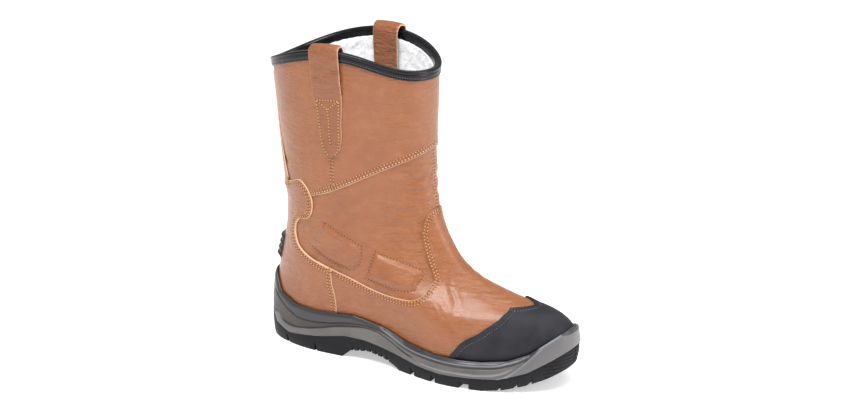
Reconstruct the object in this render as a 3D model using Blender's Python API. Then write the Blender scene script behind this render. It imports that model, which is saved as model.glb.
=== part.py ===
"""Rigger boot for the right foot: a pull-on leather boot with a moulded cup sole.

Lengths are in millimetres and angles in degrees until the meshes are written in metres.
X runs from the heel's back to the toe, the outer (lateral) side faces -Y, and Z is up.
Every shape on the foot and leg is read from one surface, the last, by two numbers:
the angle round it, from 0 at the toe through 90 on the outer side to 180 at the back
seam (negative on the inner side), and the level up it, counted in sections of the last.
"""
import math

import bmesh
import bpy
import numpy as np
from mathutils import Vector
from mathutils.geometry import delaunay_2d_cdt

MM = 0.001


def columns(names, rows):
    """A table as one array for each named column."""
    return {name: np.array([row[i] for row in rows]) for i, name in enumerate(names.split())}


LENGTH = 306.0
GAP = 0.3
LINING_SIDE = -3.0
ANKLE_SKIN = -1.2
LEG_SKIN = 0.0
PATCH_SKIN = 0.5
COUNTER_SKIN = (-0.9, 0.9)
CAP_SKIN = (-0.9, 1.0)
CAP_BORDER = 1.7
BORDER_WIDTH = 8.0
BORDER_SLOPE = 3.0
STRIP_SKIN = (0.3, 1.3)
BED_MARGIN = 0.9

# Angles round the last, and the small steps that give its normals.
COLUMNS = 48
ANGLE_STEP = 0.5
LEVEL_STEP = 0.05
SHEET_LEVELS = (0, 1, 2, 2.5, 3, 3.5, 4, 4.5, 5, 5.5, 6, 6.5, 7, 7.5, 8, 8.5, 9, 9.5,
                10, 10.5, 11, 11.5, 12, 12.5, 13)
LINING_LEVELS = (0, 1, 2, 3, 4, 5, 6, 7, 8, 9, 10, 11, 11.75, 12.5, 13)

# One closed section of the last per row. Back and front are its two ends, and the four
# half-widths stand at 12, 42, 68 and 92 per cent of the way from back to front.
# "square" is the exponent of its superellipse: 2 is an ellipse.
SECTION = columns("back_x back_z front_x front_z heel waist ball toe square", (
    (6.7, 27.0, 297.0, 33.0, 31.0, 29.0, 45.0, 29.0, 2.5),    # 0 feather edge
    (5.9, 38.0, 302.0, 46.0, 32.2, 32.0, 47.5, 30.0, 2.5),    # 1 side wall
    (5.5, 49.0, 297.5, 58.0, 33.2, 35.5, 47.0, 28.0, 2.4),    # 2 toe wall
    (6.0, 59.0, 282.0, 69.0, 33.5, 38.0, 44.5, 25.0, 2.3),    # 3 top of the toe
    (7.0, 69.0, 252.0, 77.0, 33.3, 40.0, 42.0, 22.5, 2.2),    # 4 edge of the toe cap
    (8.8, 80.0, 219.0, 87.0, 33.3, 41.5, 40.0, 20.5, 2.1),    # 5 low vamp
    (11.5, 92.0, 197.5, 100.0, 33.3, 43.0, 39.0, 19.5, 2.0),  # 6 vamp
    (14.2, 105.0, 183.5, 117.0, 33.5, 44.5, 39.0, 19.5, 2.0), # 7 instep
    (16.5, 120.0, 173.0, 138.0, 33.5, 46.0, 39.7, 20.7, 2.0), # 8 throat
    (16.2, 142.0, 167.0, 163.0, 33.7, 47.8, 42.8, 23.5, 2.0), # 9 ankle
    (12.8, 169.0, 164.0, 190.5, 35.0, 50.0, 46.3, 26.0, 2.0), # 10 low leg
    (8.8, 201.0, 162.0, 217.5, 36.2, 52.3, 48.8, 28.2, 2.0),  # 11 mid leg
    (4.6, 236.0, 161.5, 247.0, 37.0, 54.3, 51.0, 29.5, 2.0),  # 12 high leg
    (-0.5, 268.0, 161.0, 276.0, 37.3, 55.3, 52.0, 30.0, 2.0), # 13 collar
))
STATIONS = np.array((0.12, 0.42, 0.68, 0.92))
TOP = len(SECTION["back_x"]) - 1

# How far the foot's centre line swings to the inner side, along the length.
SWING = np.array(((0.0, 0.0), (0.12, 0.0), (0.42, -4.0), (0.68, -1.5), (0.92, 5.0), (1.0, 9.0)))
# Height of the feather edge along the length: the arch and the toe spring of the last.
FEATHER = np.array(((0.0, 27.0), (0.25, 27.0), (0.5, 22.5), (0.7, 20.0), (0.85, 23.0), (1.0, 33.0)))
# The feather edge's shape fades out up the foot, and so does the swing, which ends at the ankle.
FEATHER_FADE_LEVEL = 7.0
FEATHER_FADE_POWER = 1.3
SWING_FADE_LEVELS = (4.0, 10.0)
# The collar rises on both sides, over its last levels. Its rise on the outer side is steeper
# towards the front.
OUTER_WAVE, INNER_WAVE = 20.0, 22.5
OUTER_STEEPNESS, FRONT_STEEPNESS, INNER_STEEPNESS = 3.0, 1.0, 2.0
WAVE_LEVELS = 5.0

# Sole: half-widths at the same stations, then heights along the length.
SOLE_WIDTHS = np.array((36.0, 36.0, 52.5, 36.5))
SOLE_SQUARE = 2.5
FLOOR = np.array(((0.0, 4.0), (0.03, 1.0), (0.06, 0.0), (0.302, 0.0), (0.33, 7.5), (0.39, 10.0),
                  (0.45, 7.0), (0.492, 2.5), (0.505, 0.0), (0.78, 0.0), (0.84, 2.2), (0.9, 7.0),
                  (0.95, 12.5), (1.0, 20.0)))
PARTING = np.array(((0.0, 30.0), (0.02, 27.0), (0.045, 15.0), (0.105, 10.5), (0.21, 15.0), (0.31, 21.0),
                    (0.375, 20.5), (0.475, 16.0), (0.575, 11.5), (0.655, 10.0), (0.745, 11.0),
                    (0.83, 12.5), (0.905, 20.0), (0.96, 30.0), (1.0, 38.0)))
BED = np.array(((0.0, 12.0), (0.3, 12.0), (0.4, 16.5), (0.5, 11.5), (0.6, 8.5), (0.78, 8.5),
                (0.86, 12.0), (0.93, 18.0), (1.0, 26.0)))
RIM = np.array(((0.0, 66.0), (0.03, 63.0), (0.068, 47.0), (0.13, 40.5), (0.21, 40.0), (0.34, 42.5),
                (0.45, 36.0), (0.52, 29.0), (0.62, 25.5), (0.77, 26.0), (0.84, 28.5), (0.9, 36.0),
                (0.95, 48.0), (1.0, 60.0)))
RIM_THICKNESS = 2.2
LIP = 6.0
FLOOR_SETBACK = 1.6
# The sole's loops also have points where its floor bends.
FLOOR_BENDS = (0.302, 0.33, 0.36, 0.39, 0.45, 0.492, 0.505)
RIM_SEARCH_LEVEL = 6.0
SEARCH_STEPS = 40
RIM_LAYERS_LEVEL = 4.0
RIM_LAYERS_ANGLE = 9.0

# Side of the cup sole from the parting line (0) to the rim (1): how far each row stands
# proud of a straight side, and how deep the heel's two grooves are there.
SIDE = columns("height proud groove", (
    (0.0, 0.0, 0.0),
    (0.22, 1.0, 0.0),
    (0.33, 1.1, 0.0),
    (0.37, 1.0, 1.2),
    (0.45, 1.2, 0.0),
    (0.62, 1.2, 0.0),
    (0.67, 1.0, 1.2),
    (0.73, 1.2, 0.0),
    (0.93, 0.9, 0.0),
    (1.0, 0.0, 0.0),
))
GROOVE_END = 0.42
GROOVE_FADE = 0.06

# Cuts that part the tread into lugs, across it and along it. The cutters reach past the
# sole on both sides and below the floor.
CUTTER_SIDE = 90.0
CUTTER_BOTTOM = -10.0
CROSS_CUTS = columns("x width depth", (
    (31.0, 2.4, 5.0),
    (64.5, 2.4, 5.0),
    (170.0, 4.5, 4.5),
    (193.0, 4.5, 4.5),
    (223.5, 9.0, 4.5),
    (254.5, 2.6, 4.5),
    (268.0, 3.0, 4.0),
    (279.0, 3.0, 3.0),
))
LONG_CUTS = columns("start end y width depth", (
    (14.0, 83.0, 0.0, 26.0, 3.5),
    (161.0, 262.0, -19.0, 4.0, 4.0),
    (161.0, 262.0, 17.0, 4.0, 4.0),
))

# Outlines on the outer half of the last, mirrored on the inner half. A row is an angle,
# a level, and 1 where the line turns sharply.
LEG_EDGE = ((0, 10.56, 1), (7, 10.5, 0), (41.5, 10.16, 0), (68.7, 9.76, 0), (95.9, 9.33, 0),
            (113.6, 9.15, 0), (180, 8.9, 1))
FOOT_EDGE = ((0, 8.45, 1), (12, 8.43, 0), (27, 8.2, 0), (33.3, 7.73, 0), (37.5, 6.8, 0), (41.4, 5.91, 0),
             (47.2, 5.26, 0), (61.5, 4.56, 0), (77.3, 4.0, 0), (88.3, 4.2, 0), (94.6, 4.72, 0),
             (104.8, 5.27, 0), (114, 5.7, 1))
COUNTER_EDGE = ((180, 9.62, 1), (138, 9.6, 0), (121, 9.66, 0), (115.5, 9.4, 0), (112.8, 8.75, 0),
                (116.5, 8.36, 0), (130, 8.16, 0), (133.6, 7.88, 0), (131.8, 6.9, 0), (123, 6.15, 0),
                (105.2, 5.27, 1), (111.6, 3.42, 0), (112.6, 1.33, 0), (113, 0, 1))
# The vamp runs on under the counter as far as this angle and level.
VAMP_BACK = (125, 3)
CAP_EDGE = ((0, 3.57, 1), (12, 3.66, 0), (24, 3.74, 1), (41.9, 3.16, 0), (58.2, 2.3, 0), (69.8, 1.37, 0),
            (74, 0.24, 0), (74.2, 0, 1))
STRIP_EDGE = ((180, 12.6, 1), (161, 12.6, 1), (156, 11.3, 0), (147, 10.5, 0), (141, 9.72, 1),
              (180, 9.72, 1))
REAR_PATCH = ((105.2, 8.2, 1), (79.8, 7.06, 1), (84, 6.2, 0), (93, 5.47, 1), (103, 5.81, 0),
              (118.6, 6.83, 1), (112, 7.5, 0), (105.2, 8.2, 1))
FRONT_PATCH = ((72.1, 6.83, 1), (46.6, 5.85, 1), (55, 5.3, 0), (64.6, 4.74, 1), (72.3, 4.62, 0),
               (88, 5.06, 1), (80, 5.9, 0), (72.1, 6.83, 1))
# Plane in which the panels are laid out: its scale, the spacing of points along an outline,
# and how near to one the grid's points may stand inside the plane and along its edge.
FLAT_PER_DEGREE = 1.3
OUTLINE_STEP = 9.0
CLEARANCE = 3.2
EDGE_CLEARANCE = 1.6
TINY = 1e-6
FOLD_TOLERANCE = 1e-3
MERGE_DISTANCE = 1e-4
# Corners beyond the last's own range, for the outlines that run off it.
PAST_FRONT, PAST_BACK = -1.0, 181.0
PAST_BOTTOM, PAST_TOP = -1.0, 14.0

OUTER_STRAP, INNER_STRAP = 90.5, 85.0
STRAP_THICKNESS = 1.8
# Pull strap, from its pointed end on the leg up to the collar: its half-width is in
# degrees, and "clear" is the space between it and the leg.
STRAP_OUTSIDE = columns("level half clear", (
    (10.41, 1.0, 0.45),
    (10.55, 5.2, 0.45),
    (10.8, 7.6, 0.45),
    (11.3, 8.7, 0.45),
    (11.83, 10.2, 0.5),
    (12.3, 10.2, 2.6),
    (12.7, 10.2, 3.2),
    (13.0, 10.2, 3.4),
))
STRAP_COLUMNS = 5
# The same strap over the edge and down inside: distance out of the wall, height above the edge.
STRAP_OVER = ((2.6, 3.3), (-0.6, 4.9), (-5.0, 4.3), (-8.4, 0.5), (-9.4, -7.0), (-9.4, -20.0),
              (-9.2, -34.0), (-9.0, -48.0))

# Section of the binding folded over the edge, in the same measures, and the level that its
# upward direction is taken from.
BELOW_EDGE = 12.5
BINDING = ((0.3, -7.6), (1.6, -7.6), (1.8, -4.0), (1.7, 0.2), (0.6, 1.5), (-3.2, 1.5), (-4.6, 0.2),
           (-4.6, -7.6), (-3.3, -7.6), (-3.3, 0.3), (0.3, 0.3))

# Kick-off stub: its seat on the counter, half-width in degrees, levels, ribs, the thickness
# that it keeps at its ends, and how far it stands out between and on the ribs.
SPUR_BASE = COUNTER_SKIN[1] + 0.4
SPUR_HALF = 21.0
SPUR_LEVELS = (4.75, 6.75)
SPUR_RIBS = 4
SPUR_ROWS_PER_RIB = 4
SPUR_COLUMNS = 7
SPUR_ROUNDING = 72.0
SPUR_END = 0.8
SPUR_PROUD = (4.6, 7.4)

INSOLE_THICKNESS = 4.0
INSOLE_SETBACK = -4.6
INSOLE_TOP_LEVEL = 0.3


def slopes(x, y):
    """Slope at each of the points, for a smooth curve through them."""
    step = np.diff(x)
    rise = np.diff(y) / step
    middle = (rise[:-1] * step[1:] + rise[1:] * step[:-1]) / (step[1:] + step[:-1])
    return np.concatenate((rise[:1], middle, rise[-1:]))


def along(x, y, at):
    """Height of the smooth curve through the points (x, y)."""
    x = np.asarray(x, float)
    y = np.asarray(y, float)
    at = np.clip(np.asarray(at, float), x[0], x[-1])
    slope = slopes(x, y)
    i = np.clip(np.searchsorted(x, at, side="right") - 1, 0, len(x) - 2)
    width = x[i + 1] - x[i]
    u = (at - x[i]) / width
    rest = 1.0 - u
    ends = y[i] * rest * rest * (1.0 + 2.0 * u) + y[i + 1] * u * u * (3.0 - 2.0 * u)
    return ends + width * u * rest * (slope[i] * rest - slope[i + 1] * u)


def straight(table, x):
    """Height of the line of straight stretches through a table of (place, height)."""
    return np.interp(np.asarray(x) / LENGTH, table[:, 0], table[:, 1])


def power(value, exponent):
    return np.sign(value) * np.abs(value) ** exponent


def swing(x):
    return along(SWING[:, 0], SWING[:, 1], np.asarray(x) / LENGTH)


def half_width(share, widths, square):
    """Half-width of a superellipse whose fullness changes from station to station."""
    full = [share * 0.0 + w / (1.0 - abs(2.0 * s - 1.0) ** square) ** (1.0 / square)
            for w, s in zip(widths, STATIONS)]
    at = np.clip(share, STATIONS[0], STATIONS[-1])
    i = np.clip(np.searchsorted(STATIONS, at, side="right") - 1, 0, len(STATIONS) - 2)
    full = np.array(full)
    step = np.diff(STATIONS).reshape(-1, 1)
    rise = np.diff(full, axis=0) / step
    middle = (rise[:-1] * step[1:] + rise[1:] * step[:-1]) / (step[1:] + step[:-1])
    slope = np.concatenate((np.zeros_like(middle[:1]), middle, np.zeros_like(middle[:1])))
    k = np.arange(len(at))
    width = STATIONS[i + 1] - STATIONS[i]
    u = (at - STATIONS[i]) / width
    rest = 1.0 - u
    ends = full[i, k] * rest * rest * (1.0 + 2.0 * u) + full[i + 1, k] * u * u * (3.0 - 2.0 * u)
    return ends + width * u * rest * (slope[i, k] * rest - slope[i + 1, k] * u)


def last_points(angle, level):
    """Points on the last, as an array of rows (x, y, z)."""
    angle, level = np.broadcast_arrays(np.radians(np.atleast_1d(angle)), np.atleast_1d(level))
    angle = angle.astype(float).ravel()
    level = level.astype(float).ravel()
    row = {name: along(range(TOP + 1), values, level) for name, values in SECTION.items()}
    square = row["square"]
    share = 0.5 * (1.0 + power(np.cos(angle), 2.0 / square))
    widths = [row[name] for name in ("heel", "waist", "ball", "toe")]
    half = half_width(share, widths, square) * np.abs(np.sin(angle)) ** (2.0 / square)
    x = row["back_x"] + (row["front_x"] - row["back_x"]) * share
    z = row["back_z"] + (row["front_z"] - row["back_z"]) * share
    base = (x - SECTION["back_x"][0]) / (SECTION["front_x"][0] - SECTION["back_x"][0])
    flat = SECTION["back_z"][0] + (SECTION["front_z"][0] - SECTION["back_z"][0]) * np.clip(base, 0, 1)
    dip = along(FEATHER[:, 0], FEATHER[:, 1], x / LENGTH) - flat
    z = z + dip * np.clip(1.0 - level / FEATHER_FADE_LEVEL, 0, 1) ** FEATHER_FADE_POWER
    wave = np.clip((level - (TOP - WAVE_LEVELS)) / WAVE_LEVELS, 0, 1) ** 2
    outer = np.sin(angle) >= 0
    steepness = np.where(outer, OUTER_STEEPNESS + FRONT_STEEPNESS * np.cos(angle), INNER_STEEPNESS)
    z = z + wave * np.where(outer, OUTER_WAVE, INNER_WAVE) * np.abs(np.sin(angle)) ** steepness
    y = swing(x) * np.interp(level, SWING_FADE_LEVELS, (1.0, 0.0)) - np.sign(np.sin(angle)) * half
    return np.stack((x, y, z), axis=1)


def normals(angle, level):
    """Outward directions on the last at the same places."""
    angle, level = np.broadcast_arrays(np.atleast_1d(angle).astype(float), np.atleast_1d(level).astype(float))
    low = np.clip(level - LEVEL_STEP, 0, TOP)
    high = np.clip(level + LEVEL_STEP, 0, TOP)
    sideways = last_points(angle - ANGLE_STEP, level) - last_points(angle + ANGLE_STEP, level)
    up = last_points(angle, high) - last_points(angle, low)
    normal = np.cross(sideways, up)
    return normal / np.linalg.norm(normal, axis=1, keepdims=True)


def skin(angle, level, off):
    """Points at a distance off the last, out of the foot where off is positive."""
    return last_points(angle, level) + normals(angle, level) * np.reshape(off, (-1, 1))


def sole_points(angle, inset, z_table, lift=0.0):
    """A loop on the sole's outline, set in from it, with heights from a table."""
    turn = np.radians(np.asarray(angle, float))
    share = 0.5 * (1.0 + power(np.cos(turn), 2.0 / SOLE_SQUARE))
    half = half_width(share, SOLE_WIDTHS - inset, SOLE_SQUARE) * np.abs(np.sin(turn)) ** (2.0 / SOLE_SQUARE)
    x = inset + (LENGTH - 2.0 * inset) * share
    y = swing(x) - np.sign(np.sin(turn)) * half
    return np.stack((x, y, straight(z_table, x) + lift), axis=1)


def sole_angle(place):
    """Angle at which the sole's outline reaches a place along the length."""
    return math.degrees(math.acos(power(2.0 * place - 1.0, SOLE_SQUARE / 2.0)))


LATTICE_ANGLES = np.linspace(-180.0, 180.0, COLUMNS + 1)[1:]
SOLE_ANGLES = np.array(sorted(set(LATTICE_ANGLES) | {side * sole_angle(p) for p in FLOOR_BENDS
                                                     for side in (-1, 1)}))
LEVEL_HEIGHTS = 0.5 * (SECTION["back_z"] + SECTION["front_z"])


def rim_level(angle):
    """Level at which the last meets the cup sole's rim."""
    low, high = np.zeros_like(angle), np.full_like(angle, RIM_SEARCH_LEVEL)
    for _ in range(SEARCH_STEPS):
        middle = 0.5 * (low + high)
        points = last_points(angle, middle)
        below = points[:, 2] < straight(RIM, points[:, 0])
        low = np.where(below, middle, low)
        high = np.where(below, high, middle)
    return 0.5 * (low + high)


def flatten(points):
    """Pattern-cutter's plane of the outer half: both directions roughly in millimetres."""
    points = np.asarray(points, float)
    height = np.interp(points[:, 1], range(TOP + 1), LEVEL_HEIGHTS)
    return np.stack((points[:, 0] * FLAT_PER_DEGREE, height), axis=1)


def unflatten(points):
    points = np.asarray(points, float)
    level = np.interp(points[:, 1], LEVEL_HEIGHTS, range(TOP + 1))
    angle = np.clip(points[:, 0] / FLAT_PER_DEGREE, 0.0, 180.0)
    return np.stack((angle, level), axis=1)


def outline(rows, step=OUTLINE_STEP):
    """Even points along an outline in the flat plane, curved between its sharp turns."""
    flat = flatten([row[:2] for row in rows])
    sharp = [i for i, row in enumerate(rows) if row[2] or i in (0, len(rows) - 1)]
    points = [flat[0]]
    for first, final in zip(sharp, sharp[1:]):
        piece = flat[first:final + 1]
        reach = np.concatenate(([0.0], np.cumsum(np.linalg.norm(np.diff(piece, axis=0), axis=1))))
        at = np.linspace(0.0, reach[-1], max(1, round(reach[-1] / step)) + 1)[1:]
        if len(piece) > 2:
            curve = np.stack([along(reach, piece[:, k], at) for k in (0, 1)], axis=1)
        else:
            curve = np.stack([np.interp(at, reach, piece[:, k]) for k in (0, 1)], axis=1)
        points.extend(curve)
    points = np.array(points)
    points[:, 0] = np.clip(points[:, 0], 0.0, 180.0 * FLAT_PER_DEGREE)
    return points


def beside(points, distance):
    """The same line moved sideways in the flat plane, to the left of its direction."""
    ahead = np.diff(points, axis=0)
    ahead /= np.linalg.norm(ahead, axis=1, keepdims=True)
    left = np.stack((-ahead[:, 1], ahead[:, 0]), axis=1)
    turn = np.concatenate((left[:1], left[:-1] + left[1:], left[-1:]))
    turn /= np.maximum(np.linalg.norm(turn, axis=1, keepdims=True), 0.5)
    moved = points + turn * distance
    moved[0, 0] = points[0, 0]
    moved[-1, 1] = points[-1, 1]
    return moved


def inside(point, polygon):
    """Whether a flat point lies in a closed flat polygon."""
    x, y = point
    px, py = polygon[:, 0], polygon[:, 1]
    qx, qy = np.roll(px, -1), np.roll(py, -1)
    crosses = (py > y) != (qy > y)
    with np.errstate(divide="ignore", invalid="ignore"):
        at = px + (y - py) * (qx - px) / (qy - py)
    return bool(np.count_nonzero(crosses & (x < at)) % 2)


def closed(points, *corners):
    """A polygon from a line and the corners that close it, given as (angle, level)."""
    return np.vstack((points, flatten(corners))) if corners else np.array(points)


def distance_to(points, line):
    """Distance of each flat point from a flat line."""
    start, step = line[:-1], np.diff(line, axis=0)
    share = ((points[:, None] - start) * step).sum(-1) / (step * step).sum(-1)
    near = start + np.clip(share, 0, 1)[..., None] * step
    return np.linalg.norm(points[:, None] - near, axis=-1).min(axis=1)


class Sheet:
    """The last's surface in triangles whose edges run along every outline."""

    def __init__(self):
        leg, foot = outline(LEG_EDGE), outline(FOOT_EDGE)
        counter, cap = outline(COUNTER_EDGE), outline(CAP_EDGE)
        counter_bed, cap_bed = beside(counter, -BED_MARGIN), beside(cap, BED_MARGIN)
        patches = [outline(rows) for rows in (REAR_PATCH, FRONT_PATCH)]
        strip = outline(STRIP_EDGE)
        half_angles = np.linspace(0.0, 180.0, COLUMNS // 2 + 1)
        rim = flatten(np.stack((half_angles, rim_level(half_angles)), axis=1))
        behind = ((COUNTER_EDGE[-1][0], PAST_BOTTOM), (PAST_BACK, PAST_BOTTOM), (PAST_BACK, COUNTER_EDGE[0][1]))
        ahead = ((PAST_FRONT, PAST_BOTTOM), (PAST_FRONT, CAP_EDGE[0][1]))
        self.regions = {
            "leg": closed(leg, (180, PAST_TOP), (0, PAST_TOP)),
            "vamp": closed(foot, VAMP_BACK, (VAMP_BACK[0], PAST_BOTTOM), (0, PAST_BOTTOM)),
            "rear_patch": patches[0],
            "front_patch": patches[1],
            "counter": closed(counter, *behind),
            "counter_bed": closed(counter_bed, *behind),
            "cap": closed(cap, (CAP_EDGE[-1][0], PAST_BOTTOM), *ahead),
            "cap_bed": closed(cap_bed, (CAP_EDGE[-1][0] + 1, PAST_BOTTOM), *ahead),
            "strip": strip,
            "cup": closed(rim, (180, PAST_BOTTOM), (0, PAST_BOTTOM)),
        }
        self.build([leg, foot, counter, cap, counter_bed, cap_bed, *patches, strip, rim], half_angles)

    def build(self, lines, half_angles):
        lattice = flatten([(a, level) for level in SHEET_LEVELS for a in half_angles])
        near = np.min([distance_to(lattice, line) for line in lines], axis=0)
        ends = (lattice[:, 0] < TINY) | (lattice[:, 0] > 180 * FLAT_PER_DEGREE - TINY)
        rims = (lattice[:, 1] < LEVEL_HEIGHTS[0] + TINY) | (lattice[:, 1] > LEVEL_HEIGHTS[-1] - TINY)
        keep = (near > np.where(ends | rims, EDGE_CLEARANCE, CLEARANCE)) | (ends & rims)
        points = [Vector(p) for p in lattice[keep]]
        edges = []
        for line in lines:
            start = len(points)
            points.extend(Vector(p) for p in line)
            edges.extend((start + i, start + i + 1) for i in range(len(line) - 1))
        flat, _, faces, _, _, _ = delaunay_2d_cdt(points, edges, [], 0, MERGE_DISTANCE)
        flat = np.array([tuple(p) for p in flat])
        self.fill(unflatten(flat), flat, faces)

    def fill(self, places, flat, faces):
        """Mirror the outer half onto the inner one and sort the faces by region."""
        places[np.abs(places[:, 0]) < FOLD_TOLERANCE, 0] = 0.0
        places[np.abs(places[:, 0] - 180.0) < FOLD_TOLERANCE, 0] = 180.0
        places[places[:, 1] < FOLD_TOLERANCE, 1] = 0.0
        places[places[:, 1] > TOP - FOLD_TOLERANCE, 1] = TOP
        seam = (places[:, 0] == 0.0) | (places[:, 0] == 180.0)
        twin = np.arange(len(places))
        twin[~seam] = len(places) + np.arange(np.count_nonzero(~seam))
        self.angle = np.concatenate((places[:, 0], -places[~seam, 0]))
        self.level = np.concatenate((places[:, 1], places[~seam, 1]))
        self.faces, self.member = [], []
        for face in faces:
            middle = flat[list(face)].mean(axis=0)
            held = {name for name, polygon in self.regions.items() if inside(middle, polygon)}
            self.faces.append(tuple(face))
            self.faces.append(tuple(twin[i] for i in reversed(face)))
            self.member.extend((held, held))
        self.point = last_points(self.angle, self.level)
        self.normal = normals(self.angle, self.level)

    def pick(self, name, without=()):
        """Faces of a region, less those of other regions."""
        return [face for face, held in zip(self.faces, self.member)
                if name in held and not held.intersection(without)]

    def upper_height(self, held):
        if "counter_bed" in held or "cap_bed" in held:
            return ANKLE_SKIN
        if "leg" in held or "vamp" in held:
            return LEG_SKIN
        if "rear_patch" in held or "front_patch" in held:
            return PATCH_SKIN
        return ANKLE_SKIN

    def top_height(self, held):
        """Outermost surface over a face, with what is sewn on it."""
        if "counter" in held:
            return COUNTER_SKIN[1]
        if "cap" in held:
            return CAP_BORDER
        return self.upper_height(held)

    def off(self, vertex, distance):
        return self.point[vertex] + self.normal[vertex] * distance


def edge_users(faces):
    users = {}
    for face in faces:
        for a, b in zip(face, face[1:] + face[:1]):
            users.setdefault((min(a, b), max(a, b)), []).append(face)
    return users


def stitch(first, second):
    """Triangles between two closed loops of (angle, vertex), both in order of angle."""
    faces = []
    i = j = 0
    n, m = len(first), len(second)
    while i < n or j < m:
        next_first = first[(i + 1) % n][0] + 360.0 * ((i + 1) // n)
        next_second = second[(j + 1) % m][0] + 360.0 * ((j + 1) // m)
        if j == m or (i < n and next_first <= next_second):
            faces.append((first[i % n][1], first[(i + 1) % n][1], second[j % m][1]))
            i += 1
        else:
            faces.append((first[i % n][1], second[(j + 1) % m][1], second[j % m][1]))
            j += 1
    return faces


def across(loop):
    """Faces that close a loop of (angle, vertex) from side to side."""
    pair = {round(angle, 4): vertex for angle, vertex in loop}
    places = sorted(angle for angle in pair if angle >= 0.0)
    faces = []
    for a, b in zip(places, places[1:]):
        corners = [pair[a], pair[b], pair.get(-b, pair[b]), pair.get(-a, pair[a])]
        faces.append(tuple(dict.fromkeys(corners)))
    return faces


def ring_faces(rings, closed_way=True):
    """Quads between rings that have the same number of vertices."""
    faces = []
    for low, high in zip(rings, rings[1:]):
        count = len(low) if closed_way else len(low) - 1
        for i in range(count):
            j = (i + 1) % len(low)
            faces.append((low[i], low[j], high[j], high[i]))
    return faces


class Solid:
    """Vertices and faces of one piece, written as a Blender object at the end."""

    def __init__(self):
        self.points = []
        self.faces = []

    def add(self, points):
        start = len(self.points)
        self.points.extend(tuple(p) for p in points)
        return list(range(start, len(self.points)))

    def write(self, name, paint, sharp=35.0):
        mesh = bpy.data.meshes.new(name)
        mesh.from_pydata([Vector(p) * MM for p in self.points], [], self.faces)
        shape = bmesh.new()
        shape.from_mesh(mesh)
        bmesh.ops.triangulate(shape, faces=shape.faces)
        bmesh.ops.recalc_face_normals(shape, faces=shape.faces)
        shape.to_mesh(mesh)
        shape.free()
        mesh.shade_smooth()
        mesh.set_sharp_from_angle(angle=math.radians(sharp))
        mesh.materials.append(paint)
        piece = bpy.data.objects.new(name, mesh)
        bpy.context.collection.objects.link(piece)
        return piece


def make_paint(name, colour, roughness):
    paint = bpy.data.materials.new(name)
    paint.use_nodes = True
    shader = paint.node_tree.nodes["Principled BSDF"]
    shader.inputs["Base Color"].default_value = (*colour, 1.0)
    shader.inputs["Roughness"].default_value = roughness
    shader.inputs["Metallic"].default_value = 0.0
    return paint


def make_upper(sheet, paint):
    """One leather wall, with a step at each lapped edge and round each padded patch."""
    solid = Solid()
    heights = [sheet.upper_height(held) for held in sheet.member]
    around = {}
    for face, height in zip(sheet.faces, heights):
        for vertex in face:
            around.setdefault(vertex, set()).add(height)
    key = {}
    for vertex, found in around.items():
        for height in found:
            key[vertex, height] = solid.add([sheet.off(vertex, height)])[0]
    sides = {}
    for face, height in zip(sheet.faces, heights):
        solid.faces.append(tuple(key[vertex, height] for vertex in face))
        for a, b in zip(face, face[1:] + face[:1]):
            sides.setdefault((min(a, b), max(a, b)), []).append(height)
    for (a, b), found in sides.items():
        if len(found) == 2 and found[0] != found[1]:
            low, high = sorted(found)
            column_a = [key[a, h] for h in sorted(around[a]) if low <= h <= high]
            column_b = [key[b, h] for h in sorted(around[b]) if low <= h <= high]
            solid.faces.append(tuple(column_a + column_b[::-1]))
    rings = [solid.add(skin(LATTICE_ANGLES, level, LINING_SIDE)) for level in LINING_LEVELS]
    solid.faces += ring_faces(rings)
    for level, ring in ((0.0, rings[0]), (float(TOP), rings[-1])):
        rim = [(a, b, found[0]) for (a, b), found in sides.items()
               if sheet.level[a] == level and sheet.level[b] == level and len(found) == 1]
        solid.faces += stitch(edge_loop(sheet, rim, key), list(zip(LATTICE_ANGLES, ring)))
    return solid.write("upper", paint)


def edge_loop(sheet, rim, key):
    """Loop of (angle, vertex) along the sheet's top or bottom, with the steps in it."""
    spans = []
    for a, b, height in rim:
        start, end = sheet.angle[a], sheet.angle[b]
        if abs(start) == 180.0 and end < 0.0:
            start = -180.0
        if abs(end) == 180.0 and start < 0.0:
            end = -180.0
        if start > end:
            start, end, a, b = end, start, b, a
        spans.append((start, end, key[a, height], key[b, height]))
    loop = []
    for start, end, a, b in sorted(spans):
        if loop and loop[-1][1] != a:
            loop.append((start, a))
        loop.append((end, b))
    return loop


def make_overlay(sheet, name, faces, low, high, paint):
    """A layer sewn on the upper: low and high are distances off the last for each vertex."""
    solid = Solid()
    used = sorted({vertex for face in faces for vertex in face})
    under = dict(zip(used, solid.add(sheet.off(v, low(v)) for v in used)))
    over = dict(zip(used, solid.add(sheet.off(v, high(v)) for v in used)))
    solid.faces += [tuple(over[v] for v in face) for face in faces]
    solid.faces += [tuple(under[v] for v in reversed(face)) for face in faces]
    for (a, b), users in edge_users(faces).items():
        if len(users) == 1:
            solid.faces.append((under[a], under[b], over[b], over[a]))
    return solid.write(name, paint)


def make_toe_cap(sheet, paint):
    faces = sheet.pick("cap")
    line = outline(CAP_EDGE)
    flat = flatten(np.stack((np.abs(sheet.angle), sheet.level), axis=1))
    border = np.clip((BORDER_WIDTH - distance_to(flat, line)) / BORDER_SLOPE, 0.0, 1.0)
    high = CAP_SKIN[1] + (CAP_BORDER - CAP_SKIN[1]) * border
    return make_overlay(sheet, "toe_cap", faces, lambda v: CAP_SKIN[0], lambda v: high[v], paint)


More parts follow.
